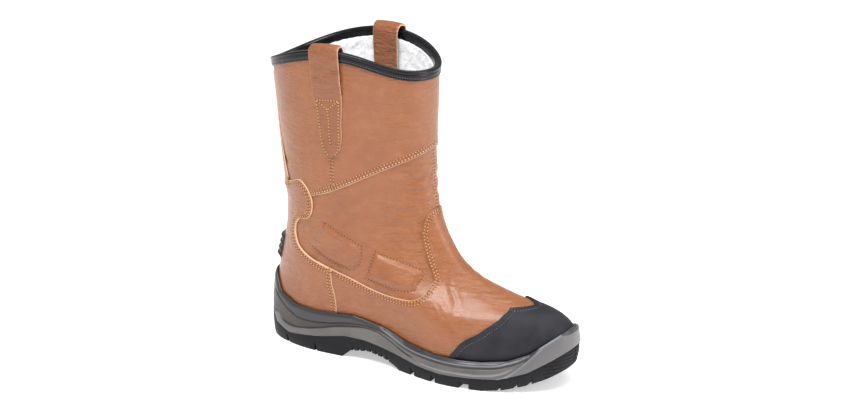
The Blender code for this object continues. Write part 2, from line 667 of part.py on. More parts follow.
def make_midsole(sheet, paint):
    """Cup sole: a lining face parallel to the upper, a floor, and a grooved side."""
    solid = Solid()
    cup = sheet.pick("cup")
    tallest = np.full(len(sheet.angle), ANKLE_SKIN)
    for face, held in zip(sheet.faces, sheet.member):
        for vertex in face:
            tallest[vertex] = max(tallest[vertex], sheet.top_height(held))
    used = sorted({vertex for face in cup for vertex in face})
    inner = dict(zip(used, solid.add(sheet.off(v, tallest[v] + GAP) for v in used)))
    solid.faces += [tuple(inner[v] for v in face) for face in cup]

    border = [pair for pair, users in edge_users(cup).items() if len(users) == 1]
    feather = {v for pair in border for v in pair if sheet.level[v] == 0.0}
    rim = {v for pair in border for v in pair if not all(sheet.level[u] == 0.0 for u in pair)}
    feather_loop = sorted((sheet.angle[v], inner[v]) for v in feather)
    rim_loop = sorted((sheet.angle[v], inner[v]) for v in rim)

    down = np.array((0.0, 0.0, -GAP))
    floor = solid.add(np.array(solid.points[v]) + down for _, v in feather_loop)
    floor_loop = [(angle, v) for (angle, _), v in zip(feather_loop, floor)]
    solid.faces += ring_faces([[v for _, v in feather_loop], floor])
    solid.faces += across(floor_loop)

    reach = np.interp(SOLE_ANGLES, *zip(*[(a, tallest_at(sheet, tallest, a)) for a in LATTICE_ANGLES]))
    top = skin(SOLE_ANGLES, rim_level(SOLE_ANGLES), reach + GAP + RIM_THICKNESS)
    bottom = sole_points(SOLE_ANGLES, 0.0, PARTING, GAP)
    outward = sole_points(SOLE_ANGLES, 0.0, PARTING) - sole_points(SOLE_ANGLES, LIP, PARTING)
    outward[:, 2] = 0.0
    outward /= np.linalg.norm(outward, axis=1, keepdims=True)
    fade = np.clip((GROOVE_END - bottom[:, 0] / LENGTH) / GROOVE_FADE, 0.0, 1.0)
    rings = []
    for height, proud, groove in zip(*SIDE.values()):
        off = (proud - groove * fade)[:, None]
        rings.append(solid.add(bottom + (top - bottom) * height + outward * off))
    solid.faces += ring_faces(rings)
    solid.faces += stitch(list(zip(SOLE_ANGLES, rings[-1])), rim_loop)
    lip = solid.add(sole_points(SOLE_ANGLES, LIP, BED, GAP))
    solid.faces += ring_faces([lip, rings[0]])
    solid.faces += across(list(zip(SOLE_ANGLES, lip)))
    return solid.write("midsole", paint)


def tallest_at(sheet, tallest, angle):
    """Thickest layer on the upper near the rim at an angle."""
    near = (np.abs(sheet.angle - angle) < RIM_LAYERS_ANGLE) & (sheet.level < RIM_LAYERS_LEVEL)
    return tallest[near].max()


def make_outsole(paint):
    """Tread slab with a lip round the cup sole, cut into lugs."""
    solid = Solid()
    bottom = solid.add(sole_points(SOLE_ANGLES, FLOOR_SETBACK, FLOOR))
    side = solid.add(sole_points(SOLE_ANGLES, 0.0, PARTING))
    lip = solid.add(sole_points(SOLE_ANGLES, LIP, BED))
    solid.faces += ring_faces([bottom, side, lip])
    solid.faces += across(list(zip(SOLE_ANGLES, bottom)))
    solid.faces += across(list(zip(SOLE_ANGLES, lip)))
    sole = solid.write("outsole", paint)
    cross = [((x - width / 2, -CUTTER_SIDE, CUTTER_BOTTOM),
              (x + width / 2, CUTTER_SIDE, float(straight(FLOOR, x)) + depth))
             for x, width, depth in zip(*CROSS_CUTS.values())]
    lengthwise = [((start, y - width / 2, CUTTER_BOTTOM), (end, y + width / 2, depth))
                  for start, end, y, width, depth in zip(*LONG_CUTS.values())]
    for name, boxes in (("cross_cuts", cross), ("long_cuts", lengthwise)):
        cutter = make_cutter(name, boxes)
        cut = sole.modifiers.new(name, "BOOLEAN")
        cut.operation = "DIFFERENCE"
        cut.solver = "EXACT"
        cut.object = cutter
    return sole


def make_cutter(name, boxes):
    """Boxes given by their low and high corners, used to cut the tread."""
    solid = Solid()
    for low, high in boxes:
        corners = [(x, y, z) for x in (low[0], high[0]) for y in (low[1], high[1]) for z in (low[2], high[2])]
        v = solid.add(corners)
        solid.faces += [(v[0], v[1], v[3], v[2]), (v[4], v[6], v[7], v[5]), (v[0], v[4], v[5], v[1]),
                        (v[2], v[3], v[7], v[6]), (v[0], v[2], v[6], v[4]), (v[1], v[5], v[7], v[3])]
    cutter = solid.write(name, None)
    cutter.hide_render = True
    cutter.display_type = "WIRE"
    return cutter


def make_insole(paint):
    """Footbed on the cup sole's floor, cut just inside the upper's lining side."""
    solid = Solid()
    edge = skin(LATTICE_ANGLES, 0.0, INSOLE_SETBACK)
    edge[:, 2] = bed_height(edge[:, 0])
    wall = skin(LATTICE_ANGLES, INSOLE_TOP_LEVEL, INSOLE_SETBACK)
    wall[:, 2] = edge[:, 2] + INSOLE_THICKNESS
    low, high = solid.add(edge), solid.add(wall)
    solid.faces += ring_faces([low, high])
    solid.faces += across(list(zip(LATTICE_ANGLES, low)))
    solid.faces += across(list(zip(LATTICE_ANGLES, high)))
    return solid.write("insole", paint)


def bed_height(x):
    """Height of the footbed's underside along the length."""
    return along(FEATHER[:, 0], FEATHER[:, 1], x / LENGTH) + GAP


def collar_frame(angle):
    """The collar's edge, with the directions up along the leg and out of it."""
    edge = last_points(angle, TOP)
    up = edge - last_points(angle, BELOW_EDGE)
    up /= np.linalg.norm(up, axis=1, keepdims=True)
    out = normals(angle, TOP - 2.0 * LEVEL_STEP)
    out -= up * (out * up).sum(axis=1, keepdims=True)
    return edge, up, out / np.linalg.norm(out, axis=1, keepdims=True)


def make_binding(paint):
    """Binding folded over the collar's edge."""
    solid = Solid()
    edge, up, out = collar_frame(LATTICE_ANGLES)
    rings = [solid.add(edge + out * off + up * high) for off, high in BINDING]
    solid.faces += ring_faces(rings + rings[:1])
    return solid.write("collar_binding", paint)


def make_strap(name, side, paint):
    """Pull strap sewn to the leg, with a loop over the collar and a tail inside."""
    solid = Solid()
    shares = np.linspace(-1.0, 1.0, STRAP_COLUMNS)
    centre = OUTER_STRAP if side > 0 else INNER_STRAP
    rows = []
    for level, half, clear in zip(*STRAP_OUTSIDE.values()):
        angle = side * (centre + shares * half)
        point, normal = last_points(angle, level), normals(angle, level)
        rows.append((point + normal * clear, point + normal * (clear + STRAP_THICKNESS)))
    edge, up, out = collar_frame(side * (centre + shares * STRAP_OUTSIDE["half"][-1]))
    path = [(STRAP_OUTSIDE["clear"][-1], 0.0), *STRAP_OVER]
    for i in range(1, len(path)):
        back = np.subtract(path[i], path[i - 1])
        ahead = np.subtract(path[min(i + 1, len(path) - 1)], path[i])
        way = back / np.linalg.norm(back) + ahead / max(np.linalg.norm(ahead), TINY)
        way /= np.linalg.norm(way)
        over = (path[i][0] + way[1] * STRAP_THICKNESS, path[i][1] - way[0] * STRAP_THICKNESS)
        rows.append((edge + out * path[i][0] + up * path[i][1], edge + out * over[0] + up * over[1]))
    under = [solid.add(row[0]) for row in rows]
    over = [solid.add(row[1]) for row in rows]
    solid.faces += ring_faces(under, False) + ring_faces(over, False)
    for low, high in ((under[0], over[0]), (under[-1], over[-1])):
        solid.faces += ring_faces([low, high], False)
    for k in (0, -1):
        solid.faces += ring_faces([[row[k] for row in under], [row[k] for row in over]], False)
    return solid.write(name, paint)


def make_spur(paint):
    """Ribbed kick-off stub on the counter."""
    solid = Solid()
    shares = np.linspace(-1.0, 1.0, SPUR_COLUMNS)
    angles = 180.0 + shares * SPUR_HALF
    count = SPUR_RIBS * SPUR_ROWS_PER_RIB + 1
    levels = np.linspace(SPUR_LEVELS[0], SPUR_LEVELS[1], count)
    wave = 0.5 - 0.5 * np.cos(np.linspace(0.0, 2.0 * math.pi * SPUR_RIBS, count))
    ends = np.cos(np.radians(shares * SPUR_ROUNDING))
    inner, outer = [], []
    for level, rib in zip(levels, wave):
        proud = SPUR_PROUD[0] + (SPUR_PROUD[1] - SPUR_PROUD[0]) * rib
        inner.append(solid.add(skin(angles, level, SPUR_BASE)))
        outer.append(solid.add(skin(angles, level, SPUR_BASE + SPUR_END + (proud - SPUR_END) * ends)))
    solid.faces += ring_faces(inner, False) + ring_faces(outer, False)
    for low, high in ((inner[0], outer[0]), (inner[-1], outer[-1])):
        solid.faces += ring_faces([low, high], False)
    for k in (0, -1):
        solid.faces += ring_faces([[row[k] for row in inner], [row[k] for row in outer]], False)
    return solid.write("heel_spur", paint)


def stand_on_origin(pieces):
    """Hang the pieces from one empty, with the middle of their footprint at the origin."""
    corners = np.array([tuple(v.co) for piece in pieces for v in piece.data.vertices])
    low, high = corners.min(axis=0), corners.max(axis=0)
    boot = bpy.data.objects.new("boot", None)
    bpy.context.collection.objects.link(boot)
    boot.location = (-(low[0] + high[0]) / 2, -(low[1] + high[1]) / 2, -low[2])
    for piece in bpy.data.objects:
        if piece.type == "MESH":
            piece.parent = boot


def main():
    for old in list(bpy.data.objects):
        bpy.data.objects.remove(old, do_unlink=True)
    leather = make_paint("leather", (0.50, 0.22, 0.09), 0.45)
    strap_leather = make_paint("strap_leather", (0.48, 0.21, 0.09), 0.5)
    scuff_rubber = make_paint("scuff_rubber", (0.02, 0.02, 0.022), 0.6)
    binding = make_paint("binding", (0.012, 0.012, 0.013), 0.35)
    foam = make_paint("cup_foam", (0.10, 0.095, 0.09), 0.5)
    rubber = make_paint("rubber", (0.015, 0.015, 0.016), 0.7)
    felt = make_paint("footbed", (0.55, 0.53, 0.50), 0.95)

    sheet = Sheet()
    pieces = [
        make_upper(sheet, leather),
        make_outsole(rubber),
        make_midsole(sheet, foam),
        make_insole(felt),
        make_toe_cap(sheet, scuff_rubber),
        make_overlay(sheet, "counter", sheet.pick("counter"), lambda v: COUNTER_SKIN[0],
                     lambda v: COUNTER_SKIN[1], leather),
        make_overlay(sheet, "back_strip", sheet.pick("strip"), lambda v: STRIP_SKIN[0],
                     lambda v: STRIP_SKIN[1], leather),
        make_binding(binding),
        make_strap("pull_loop_lateral", 1, strap_leather),
        make_strap("pull_loop_medial", -1, strap_leather),
        make_spur(scuff_rubber),
    ]
    stand_on_origin(pieces)


main()
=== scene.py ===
"""Looks of the rigger boot: a right-foot leather pull-on boot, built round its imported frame.

Lengths are millimetres and angles are degrees, measured as on the boot itself: X from the
heel's back to the toe, the outer side at -Y, Z up from the floor. A place on the foot or
leg is an angle round the last (0 toe, 90 outer side, 180 back seam, negative inside) and a
level up it, counted in the last's sections.
"""
import math

import bmesh
import bpy
import numpy as np
from mathutils import Matrix, Vector
from mathutils.geometry import delaunay_2d_cdt


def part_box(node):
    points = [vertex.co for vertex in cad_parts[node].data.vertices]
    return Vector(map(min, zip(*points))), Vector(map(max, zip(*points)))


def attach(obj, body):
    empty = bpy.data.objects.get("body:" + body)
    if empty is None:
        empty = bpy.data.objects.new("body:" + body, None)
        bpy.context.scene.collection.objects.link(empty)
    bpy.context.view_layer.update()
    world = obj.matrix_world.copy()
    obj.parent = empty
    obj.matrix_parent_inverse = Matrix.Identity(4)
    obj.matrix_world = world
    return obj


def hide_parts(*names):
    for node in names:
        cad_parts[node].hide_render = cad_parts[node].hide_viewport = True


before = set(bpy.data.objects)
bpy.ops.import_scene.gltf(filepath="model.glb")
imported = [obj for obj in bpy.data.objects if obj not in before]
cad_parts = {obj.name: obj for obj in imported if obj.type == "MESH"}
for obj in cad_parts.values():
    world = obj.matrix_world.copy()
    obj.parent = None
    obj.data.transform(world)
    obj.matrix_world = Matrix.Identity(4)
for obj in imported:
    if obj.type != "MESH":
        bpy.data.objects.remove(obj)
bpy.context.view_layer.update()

BODY = "root"
MM = 0.001
ORIGIN = np.array((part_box("outsole")[0].x, 0.0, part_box("outsole")[0].z))


def columns(names, rows):
    """A table as one array for each named column."""
    return {name: np.array([row[i] for row in rows]) for i, name in enumerate(names.split())}


# The last: one closed section per row, with its half-widths at four stations.
LENGTH = 306.0
SECTION = columns("back_x back_z front_x front_z heel waist ball toe square", (
    (6.7, 27.0, 297.0, 33.0, 31.0, 29.0, 45.0, 29.0, 2.5),    # 0 feather edge
    (5.9, 38.0, 302.0, 46.0, 32.2, 32.0, 47.5, 30.0, 2.5),    # 1 side wall
    (5.5, 49.0, 297.5, 58.0, 33.2, 35.5, 47.0, 28.0, 2.4),    # 2 toe wall
    (6.0, 59.0, 282.0, 69.0, 33.5, 38.0, 44.5, 25.0, 2.3),    # 3 top of the toe
    (7.0, 69.0, 252.0, 77.0, 33.3, 40.0, 42.0, 22.5, 2.2),    # 4 edge of the toe cap
    (8.8, 80.0, 219.0, 87.0, 33.3, 41.5, 40.0, 20.5, 2.1),    # 5 low vamp
    (11.5, 92.0, 197.5, 100.0, 33.3, 43.0, 39.0, 19.5, 2.0),  # 6 vamp
    (14.2, 105.0, 183.5, 117.0, 33.5, 44.5, 39.0, 19.5, 2.0), # 7 instep
    (16.5, 120.0, 173.0, 138.0, 33.5, 46.0, 39.7, 20.7, 2.0), # 8 throat
    (16.2, 142.0, 167.0, 163.0, 33.7, 47.8, 42.8, 23.5, 2.0), # 9 ankle
    (12.8, 169.0, 164.0, 190.5, 35.0, 50.0, 46.3, 26.0, 2.0), # 10 low leg
    (8.8, 201.0, 162.0, 217.5, 36.2, 52.3, 48.8, 28.2, 2.0),  # 11 mid leg
    (4.6, 236.0, 161.5, 247.0, 37.0, 54.3, 51.0, 29.5, 2.0),  # 12 high leg
    (-0.5, 268.0, 161.0, 276.0, 37.3, 55.3, 52.0, 30.0, 2.0), # 13 collar
))
STATIONS = np.array((0.12, 0.42, 0.68, 0.92))
TOP = len(SECTION["back_x"]) - 1
LEVEL_HEIGHTS = 0.5 * (SECTION["back_z"] + SECTION["front_z"])
SWING = np.array(((0.0, 0.0), (0.12, 0.0), (0.42, -4.0), (0.68, -1.5), (0.92, 5.0), (1.0, 9.0)))
FEATHER = np.array(((0.0, 27.0), (0.25, 27.0), (0.5, 22.5), (0.7, 20.0), (0.85, 23.0), (1.0, 33.0)))
FEATHER_FADE_LEVEL = 7.0
FEATHER_FADE_POWER = 1.3
SWING_FADE_LEVELS = (4.0, 10.0)
OUTER_WAVE, INNER_WAVE = 20.0, 22.5
OUTER_STEEPNESS, FRONT_STEEPNESS, INNER_STEEPNESS = 3.0, 1.0, 2.0
WAVE_LEVELS = 5.0
ANGLE_STEP = 0.5
LEVEL_STEP = 0.05
BELOW_EDGE = 12.5

# Sole: half-widths at the same stations, and heights along the length.
SOLE_WIDTHS = np.array((36.0, 36.0, 52.5, 36.5))
SOLE_SQUARE = 2.5
FLOOR = np.array(((0.0, 4.0), (0.03, 1.0), (0.06, 0.0), (0.302, 0.0), (0.33, 7.5), (0.39, 10.0),
                  (0.45, 7.0), (0.492, 2.5), (0.505, 0.0), (0.78, 0.0), (0.84, 2.2), (0.9, 7.0),
                  (0.95, 12.5), (1.0, 20.0)))
PARTING = np.array(((0.0, 30.0), (0.02, 27.0), (0.045, 15.0), (0.105, 10.5), (0.21, 15.0), (0.31, 21.0),
                    (0.375, 20.5), (0.475, 16.0), (0.575, 11.5), (0.655, 10.0), (0.745, 11.0),
                    (0.83, 12.5), (0.905, 20.0), (0.96, 30.0), (1.0, 38.0)))
BED = np.array(((0.0, 12.0), (0.3, 12.0), (0.4, 16.5), (0.5, 11.5), (0.6, 8.5), (0.78, 8.5),
                (0.86, 12.0), (0.93, 18.0), (1.0, 26.0)))
RIM = np.array(((0.0, 66.0), (0.03, 63.0), (0.068, 47.0), (0.13, 40.5), (0.21, 40.0), (0.34, 42.5),
                (0.45, 36.0), (0.52, 29.0), (0.62, 25.5), (0.77, 26.0), (0.84, 28.5), (0.9, 36.0),
                (0.95, 47.0), (1.0, 57.5)))
RIM_SEARCH_LEVEL = 6.0

# Heights of each layer off the last, and the thickness of the leather that shows.
ANKLE_SKIN = -1.2
LEG_SKIN = 0.0
COUNTER_SKIN = 0.9
CAP_SKIN = 0.9
CAP_BORDER = 1.7
STRIP_SKIN = 1.3
LEATHER = 1.15
EDGE_ROUND = 0.8

# Outlines on the outer half, mirrored on the inner half: angle, level, 1 at a sharp turn.
LEG_EDGE = ((0, 10.56, 1), (7, 10.5, 0), (41.5, 10.16, 0), (68.7, 9.76, 0), (95.9, 9.33, 0),
            (113.6, 9.15, 0), (180, 8.9, 1))
FOOT_EDGE = ((0, 8.45, 1), (12, 8.43, 0), (24, 8.2, 0), (33.6, 7.62, 1), (37.5, 6.8, 0), (41.4, 5.91, 0),
             (45.4, 5.36, 1), (61.5, 4.56, 1), (77.3, 4.0, 0), (88.3, 4.2, 0), (94.6, 4.72, 0),
             (104.8, 5.27, 0), (114, 5.7, 1))
COUNTER_EDGE = ((180, 9.62, 1), (138, 9.6, 0), (121, 9.66, 0), (115.5, 9.4, 0), (112.8, 8.75, 0),
                (116.5, 8.36, 0), (130, 8.16, 0), (133.6, 7.88, 0), (131.8, 6.9, 0), (123, 6.15, 0),
                (105.2, 5.27, 1), (111.6, 3.42, 0), (112.6, 1.33, 0), (113, 0, 1))
CAP_EDGE = ((0, 3.57, 1), (12, 3.66, 0), (24, 3.74, 1), (41.9, 3.16, 0), (58.2, 2.3, 0), (69.8, 1.37, 0),
            (74, 0.24, 0), (74.2, 0, 1))
STRIP_EDGE = ((161, 12.6, 1), (156, 11.3, 0), (147, 10.5, 0), (141, 9.72, 1))
REAR_PATCH = ((105.2, 8.2, 1), (79.8, 7.06, 1), (84, 6.2, 0), (93, 5.47, 1), (103, 5.81, 0),
              (118.6, 6.83, 1), (112, 7.5, 0), (105.2, 8.2, 1))
FRONT_PATCH = ((72.1, 6.83, 1), (46.6, 5.85, 1), (55, 5.3, 0), (64.6, 4.74, 1), (72.3, 4.62, 0),
               (88, 5.06, 1), (80, 5.9, 0), (72.1, 6.83, 1))
FLAT_PER_DEGREE = 1.3


def cubic(heights, slopes, width, u):
    """Height of the smooth curve between two points, from their heights and slopes."""
    rest = 1.0 - u
    ends = heights[0] * rest * rest * (1.0 + 2.0 * u) + heights[1] * u * u * (3.0 - 2.0 * u)
    return ends + width * u * rest * (slopes[0] * rest - slopes[1] * u)


def middle_slopes(step, rise):
    return (rise[:-1] * step[1:] + rise[1:] * step[:-1]) / (step[1:] + step[:-1])


def stretch_of(x, at):
    """Which stretch between the points x each place is in, its width and the share along it."""
    i = np.clip(np.searchsorted(x, at, side="right") - 1, 0, len(x) - 2)
    width = x[i + 1] - x[i]
    return i, width, (at - x[i]) / width


def along(x, y, at):
    """Height of the smooth curve through the points (x, y)."""
    x, y = np.asarray(x, float), np.asarray(y, float)
    step = np.diff(x)
    rise = np.diff(y) / step
    slope = np.concatenate((rise[:1], middle_slopes(step, rise), rise[-1:]))
    i, width, u = stretch_of(x, np.clip(np.asarray(at, float), x[0], x[-1]))
    return cubic((y[i], y[i + 1]), (slope[i], slope[i + 1]), width, u)


def curved(table, at):
    return along(table[:, 0], table[:, 1], at)


def straight(table, x):
    return np.interp(np.asarray(x) / LENGTH, table[:, 0], table[:, 1])


def power(value, exponent):
    return np.sign(value) * np.abs(value) ** exponent


def swing(x):
    return curved(SWING, np.asarray(x) / LENGTH)


def half_width(share, widths, square):
    """Half-width of a superellipse whose fullness changes from station to station."""
    full = np.array([share * 0.0 + w / (1.0 - abs(2.0 * s - 1.0) ** square) ** (1.0 / square)
                     for w, s in zip(widths, STATIONS)])
    step = np.diff(STATIONS).reshape(-1, 1)
    slope = np.pad(middle_slopes(step, np.diff(full, axis=0) / step), ((1, 1), (0, 0)))
    i, width, u = stretch_of(STATIONS, np.clip(share, STATIONS[0], STATIONS[-1]))
    k = np.arange(len(share))
    return cubic((full[i, k], full[i + 1, k]), (slope[i, k], slope[i + 1, k]), width, u)


def last_points(angle, level):
    """Points on the last, as an array of rows (x, y, z)."""
    angle, level = np.broadcast_arrays(np.radians(np.atleast_1d(angle)), np.atleast_1d(level))
    angle = angle.astype(float).ravel()
    level = level.astype(float).ravel()
    row = {name: along(range(TOP + 1), values, level) for name, values in SECTION.items()}
    square = row["square"]
    share = 0.5 * (1.0 + power(np.cos(angle), 2.0 / square))
    widths = [row[name] for name in ("heel", "waist", "ball", "toe")]
    half = half_width(share, widths, square) * np.abs(np.sin(angle)) ** (2.0 / square)
    x = row["back_x"] + (row["front_x"] - row["back_x"]) * share
    z = row["back_z"] + (row["front_z"] - row["back_z"]) * share
    base = (x - SECTION["back_x"][0]) / (SECTION["front_x"][0] - SECTION["back_x"][0])
    flat = SECTION["back_z"][0] + (SECTION["front_z"][0] - SECTION["back_z"][0]) * np.clip(base, 0, 1)
    dip = curved(FEATHER, x / LENGTH) - flat
    z = z + dip * np.clip(1.0 - level / FEATHER_FADE_LEVEL, 0, 1) ** FEATHER_FADE_POWER
    wave = np.clip((level - (TOP - WAVE_LEVELS)) / WAVE_LEVELS, 0, 1) ** 2
    outer = np.sin(angle) >= 0
    steepness = np.where(outer, OUTER_STEEPNESS + FRONT_STEEPNESS * np.cos(angle), INNER_STEEPNESS)
    z = z + wave * np.where(outer, OUTER_WAVE, INNER_WAVE) * np.abs(np.sin(angle)) ** steepness
    y = swing(x) * np.interp(level, SWING_FADE_LEVELS, (1.0, 0.0)) - np.sign(np.sin(angle)) * half
    return np.stack((x, y, z), axis=1)


def unit(rows):
    return rows / np.maximum(np.linalg.norm(rows, axis=-1, keepdims=True), 1e-12)


def tangents(angle, level):
    """How a point on the last moves for one degree and for one level."""
    angle, level = (np.atleast_1d(values).astype(float) for values in (angle, level))
    angle, level = np.broadcast_arrays(angle, level)
    low = np.clip(level - LEVEL_STEP, 0, TOP)
    high = np.clip(level + LEVEL_STEP, 0, TOP)
    sideways = last_points(angle + ANGLE_STEP, level) - last_points(angle - ANGLE_STEP, level)
    up = last_points(angle, high) - last_points(angle, low)
    return sideways / (2.0 * ANGLE_STEP), up / (high - low)[:, None]


def normals(angle, level):
    sideways, up = tangents(angle, level)
    return unit(np.cross(-sideways, up))


def skin(angle, level, off):
    """Points at a distance off the last, out of the foot where off is positive."""
    return last_points(angle, level) + normals(angle, level) * np.reshape(off, (-1, 1))


def on_last(places):
    """Points on the last at places (angle, level)."""
    return last_points(places[:, 0], places[:, 1])


def rim_level(angle):
    """Level at which the last meets the cup sole's rim."""
    low, high = np.zeros_like(angle), np.full_like(angle, RIM_SEARCH_LEVEL)
    for _ in range(40):
        middle = 0.5 * (low + high)
        points = last_points(angle, middle)
        below = points[:, 2] < straight(RIM, points[:, 0])
        low = np.where(below, middle, low)
        high = np.where(below, high, middle)
    return 0.5 * (low + high)


def sole_points(angle, inset, height):
    """A loop on the sole's outline, set in from it, at the given heights."""
    turn = np.radians(np.asarray(angle, float))
    share = 0.5 * (1.0 + power(np.cos(turn), 2.0 / SOLE_SQUARE))
    half = half_width(share, SOLE_WIDTHS - inset, SOLE_SQUARE) * np.abs(np.sin(turn)) ** (2.0 / SOLE_SQUARE)
    x = inset + (LENGTH - 2.0 * inset) * share
    y = swing(x) - np.sign(np.sin(turn)) * half
    z = straight(height, x) if isinstance(height, np.ndarray) else np.full_like(x, height)
    return np.stack((x, y, z), axis=1)


def flatten(points):
    points = np.asarray(points, float)
    height = np.interp(points[:, 1], range(TOP + 1), LEVEL_HEIGHTS)
    return np.stack((points[:, 0] * FLAT_PER_DEGREE, height), axis=1)


def unflatten(points):
    points = np.asarray(points, float)
    level = np.interp(points[:, 1], LEVEL_HEIGHTS, range(TOP + 1))
    return np.stack((points[:, 0] / FLAT_PER_DEGREE, level), axis=1)


def reach_along(line):
    """Distance along a line to each of its points."""
    return np.concatenate(([0.0], np.cumsum(np.linalg.norm(np.diff(line, axis=0), axis=1))))


def at_reach(at, reach, rows):
    """Each column of the rows at the given distances along."""
    return np.stack([np.interp(at, reach, column) for column in rows.T], axis=1)


def resample(places, step):
    """Places (angle, level) at an even spacing along a line on the last."""
    places = np.asarray(places, float)
    reach = reach_along(on_last(places))
    return at_reach(np.linspace(0.0, reach[-1], max(1, round(reach[-1] / step)) + 1), reach, places)


def trace(rows, step=1.6):
    """Even places along an outline, curved between its sharp turns."""
    flat = flatten([row[:2] for row in rows])
    sharp = [i for i, row in enumerate(rows) if row[2] or i in (0, len(rows) - 1)]
    pieces = [unflatten(flat[:1])]
    for first, final in zip(sharp, sharp[1:]):
        piece = flat[first:final + 1]
        reach = reach_along(piece)
        at = np.linspace(0.0, reach[-1], max(2, round(reach[-1] / 0.5)) + 1)
        pick = along if len(piece) > 2 else (lambda x, y, to: np.interp(to, x, y))
        curve = np.stack([pick(reach, column, at) for column in piece.T], axis=1)
        pieces.append(resample(unflatten(curve), step)[1:])
    places = np.vstack(pieces)
    places[:, 0] = np.clip(places[:, 0], 0.0, 180.0)
    places[:, 1] = np.clip(places[:, 1], 0.0, TOP)
    return places


def sidestep(places, distance):
    """A line moved sideways on the last by a real distance, to the left of its direction."""
    count = max(1, math.ceil(abs(distance) / 2.0))
    for _ in range(count):
        points = on_last(places)
        ahead = unit(np.diff(points, axis=0))
        ahead = unit(np.concatenate((ahead[:1], ahead[:-1] + ahead[1:], ahead[-1:])))
        sideways, up = tangents(places[:, 0], places[:, 1])
        normal = unit(np.cross(-sideways, up))
        way = np.cross(normal, ahead) * (distance / count)
        a, b, c = (sideways ** 2).sum(1), (sideways * up).sum(1), (up ** 2).sum(1)
        p, q = (sideways * way).sum(1), (up * way).sum(1)
        whole = a * c - b * b
        places = places + np.stack(((p * c - q * b) / whole, (q * a - p * b) / whole), axis=1)
    places[:, 1] = np.clip(places[:, 1], 0.0, TOP)
    return places


def distance_to(points, line):
    """Distance of each point from a line in space, or in the plane."""
    found = np.empty(len(points))
    start, step = line[:-1], np.diff(line, axis=0)
    size = np.maximum((step * step).sum(-1), 1e-12)
    for low in range(0, len(points), 2000):
        part = points[low:low + 2000]
        share = ((part[:, None] - start) * step).sum(-1) / size
        near = start + np.clip(share, 0, 1)[..., None] * step
        found[low:low + 2000] = np.linalg.norm(part[:, None] - near, axis=-1).min(axis=1)
    return found


def inside(points, polygon):
    """Whether each flat point lies in a closed flat polygon."""
    result = np.zeros(len(points), bool)
    px, py = polygon[:, 0], polygon[:, 1]
    qx, qy = np.roll(px, -1), np.roll(py, -1)
    for low in range(0, len(points), 4000):
        x, y = points[low:low + 4000, :1], points[low:low + 4000, 1:]
        crosses = (py > y) != (qy > y)
        with np.errstate(divide="ignore", invalid="ignore"):
            at = px + (y - py) * (qx - px) / (qy - py)
        result[low:low + 4000] = np.count_nonzero(crosses & (x < at), axis=1) % 2 == 1
    return result


class Chart:
    """Flat plane for one panel, true to length along each level from an origin angle."""

    angles = np.linspace(-2.0, 182.0, 369)
    levels = np.linspace(0.0, TOP, TOP * 10 + 1)

    def __init__(self, origin):
        grid_angle, grid_level = np.meshgrid(self.angles, self.levels)
        points = last_points(grid_angle.ravel(), grid_level.ravel())
        points = points.reshape(len(self.levels), len(self.angles), 3)
        around = np.linalg.norm(np.diff(points, axis=1), axis=2).cumsum(axis=1)
        around = np.pad(around, ((0, 0), (1, 0)))
        here = np.argmin(np.abs(self.angles - origin))
        self.reach = around - around[:, here:here + 1]
        self.height = reach_along(points[:, here])

    def rows_at(self, level):
        row = np.clip(level / self.levels[1], 0, len(self.levels) - 1.001)
        low = row.astype(int)
        return low, (row - low)

    def to_flat(self, places):
        low, share = self.rows_at(places[:, 1])
        column = np.clip((places[:, 0] - self.angles[0]) / (self.angles[1] - self.angles[0]),
                         0, len(self.angles) - 1.001)
        left = column.astype(int)
        part = column - left
        below = self.reach[low, left] * (1 - part) + self.reach[low, left + 1] * part
        above = self.reach[low + 1, left] * (1 - part) + self.reach[low + 1, left + 1] * part
        across = below * (1 - share) + above * share
        return np.stack((across, np.interp(places[:, 1], self.levels, self.height)), axis=1)

    def lattice(self, spacing, low, high):
        """Staggered places at an even spacing, between two flat corners."""
        found = []
        rows = np.arange(low[1], high[1], spacing * 0.87)
        for k, height in enumerate(rows):
            level = np.interp(height, self.height, self.levels)
            row, share = self.rows_at(np.array([level]))
            reach = self.reach[row[0]] * (1 - share[0]) + self.reach[row[0] + 1] * share[0]
            across = np.arange(low[0] + (k % 2) * spacing / 2, high[0], spacing)
            across = across[(across > reach[0]) & (across < reach[-1])]
            angle = np.interp(across, reach, self.angles)
            found.append(np.stack((angle, np.full_like(angle, level)), axis=1))
        return np.vstack(found)


def to_world(points):
    return np.asarray(points, float) * MM + ORIGIN


def write(name, points, faces, paints, nodes=(), paint_of=None, marks=None, sharp=40.0, mend=True):
    """Makes one piece of the boot, riding on its body and standing for its nodes."""
    mesh = bpy.data.meshes.new(name)
    mesh.from_pydata(to_world(points), [], [tuple(face) for face in faces])
    for paint in paints:
        mesh.materials.append(paint)
    if paint_of is not None:
        mesh.polygons.foreach_set("material_index", np.asarray(paint_of, np.int32))
    for mark, values in (marks or {}).items():
        mesh.attributes.new(mark, "FLOAT", "POINT").data.foreach_set("value", np.asarray(values, np.float32))
    if mend:
        shape = bmesh.new()
        shape.from_mesh(mesh)
        bmesh.ops.recalc_face_normals(shape, faces=shape.faces)
        shape.to_mesh(mesh)
        shape.free()
    mesh.shade_smooth()
    mesh.set_sharp_from_angle(angle=math.radians(sharp))
    piece = bpy.data.objects.new(name, mesh)
    bpy.context.collection.objects.link(piece)
    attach(piece, BODY)
    if nodes:
        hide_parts(*nodes)
    return piece


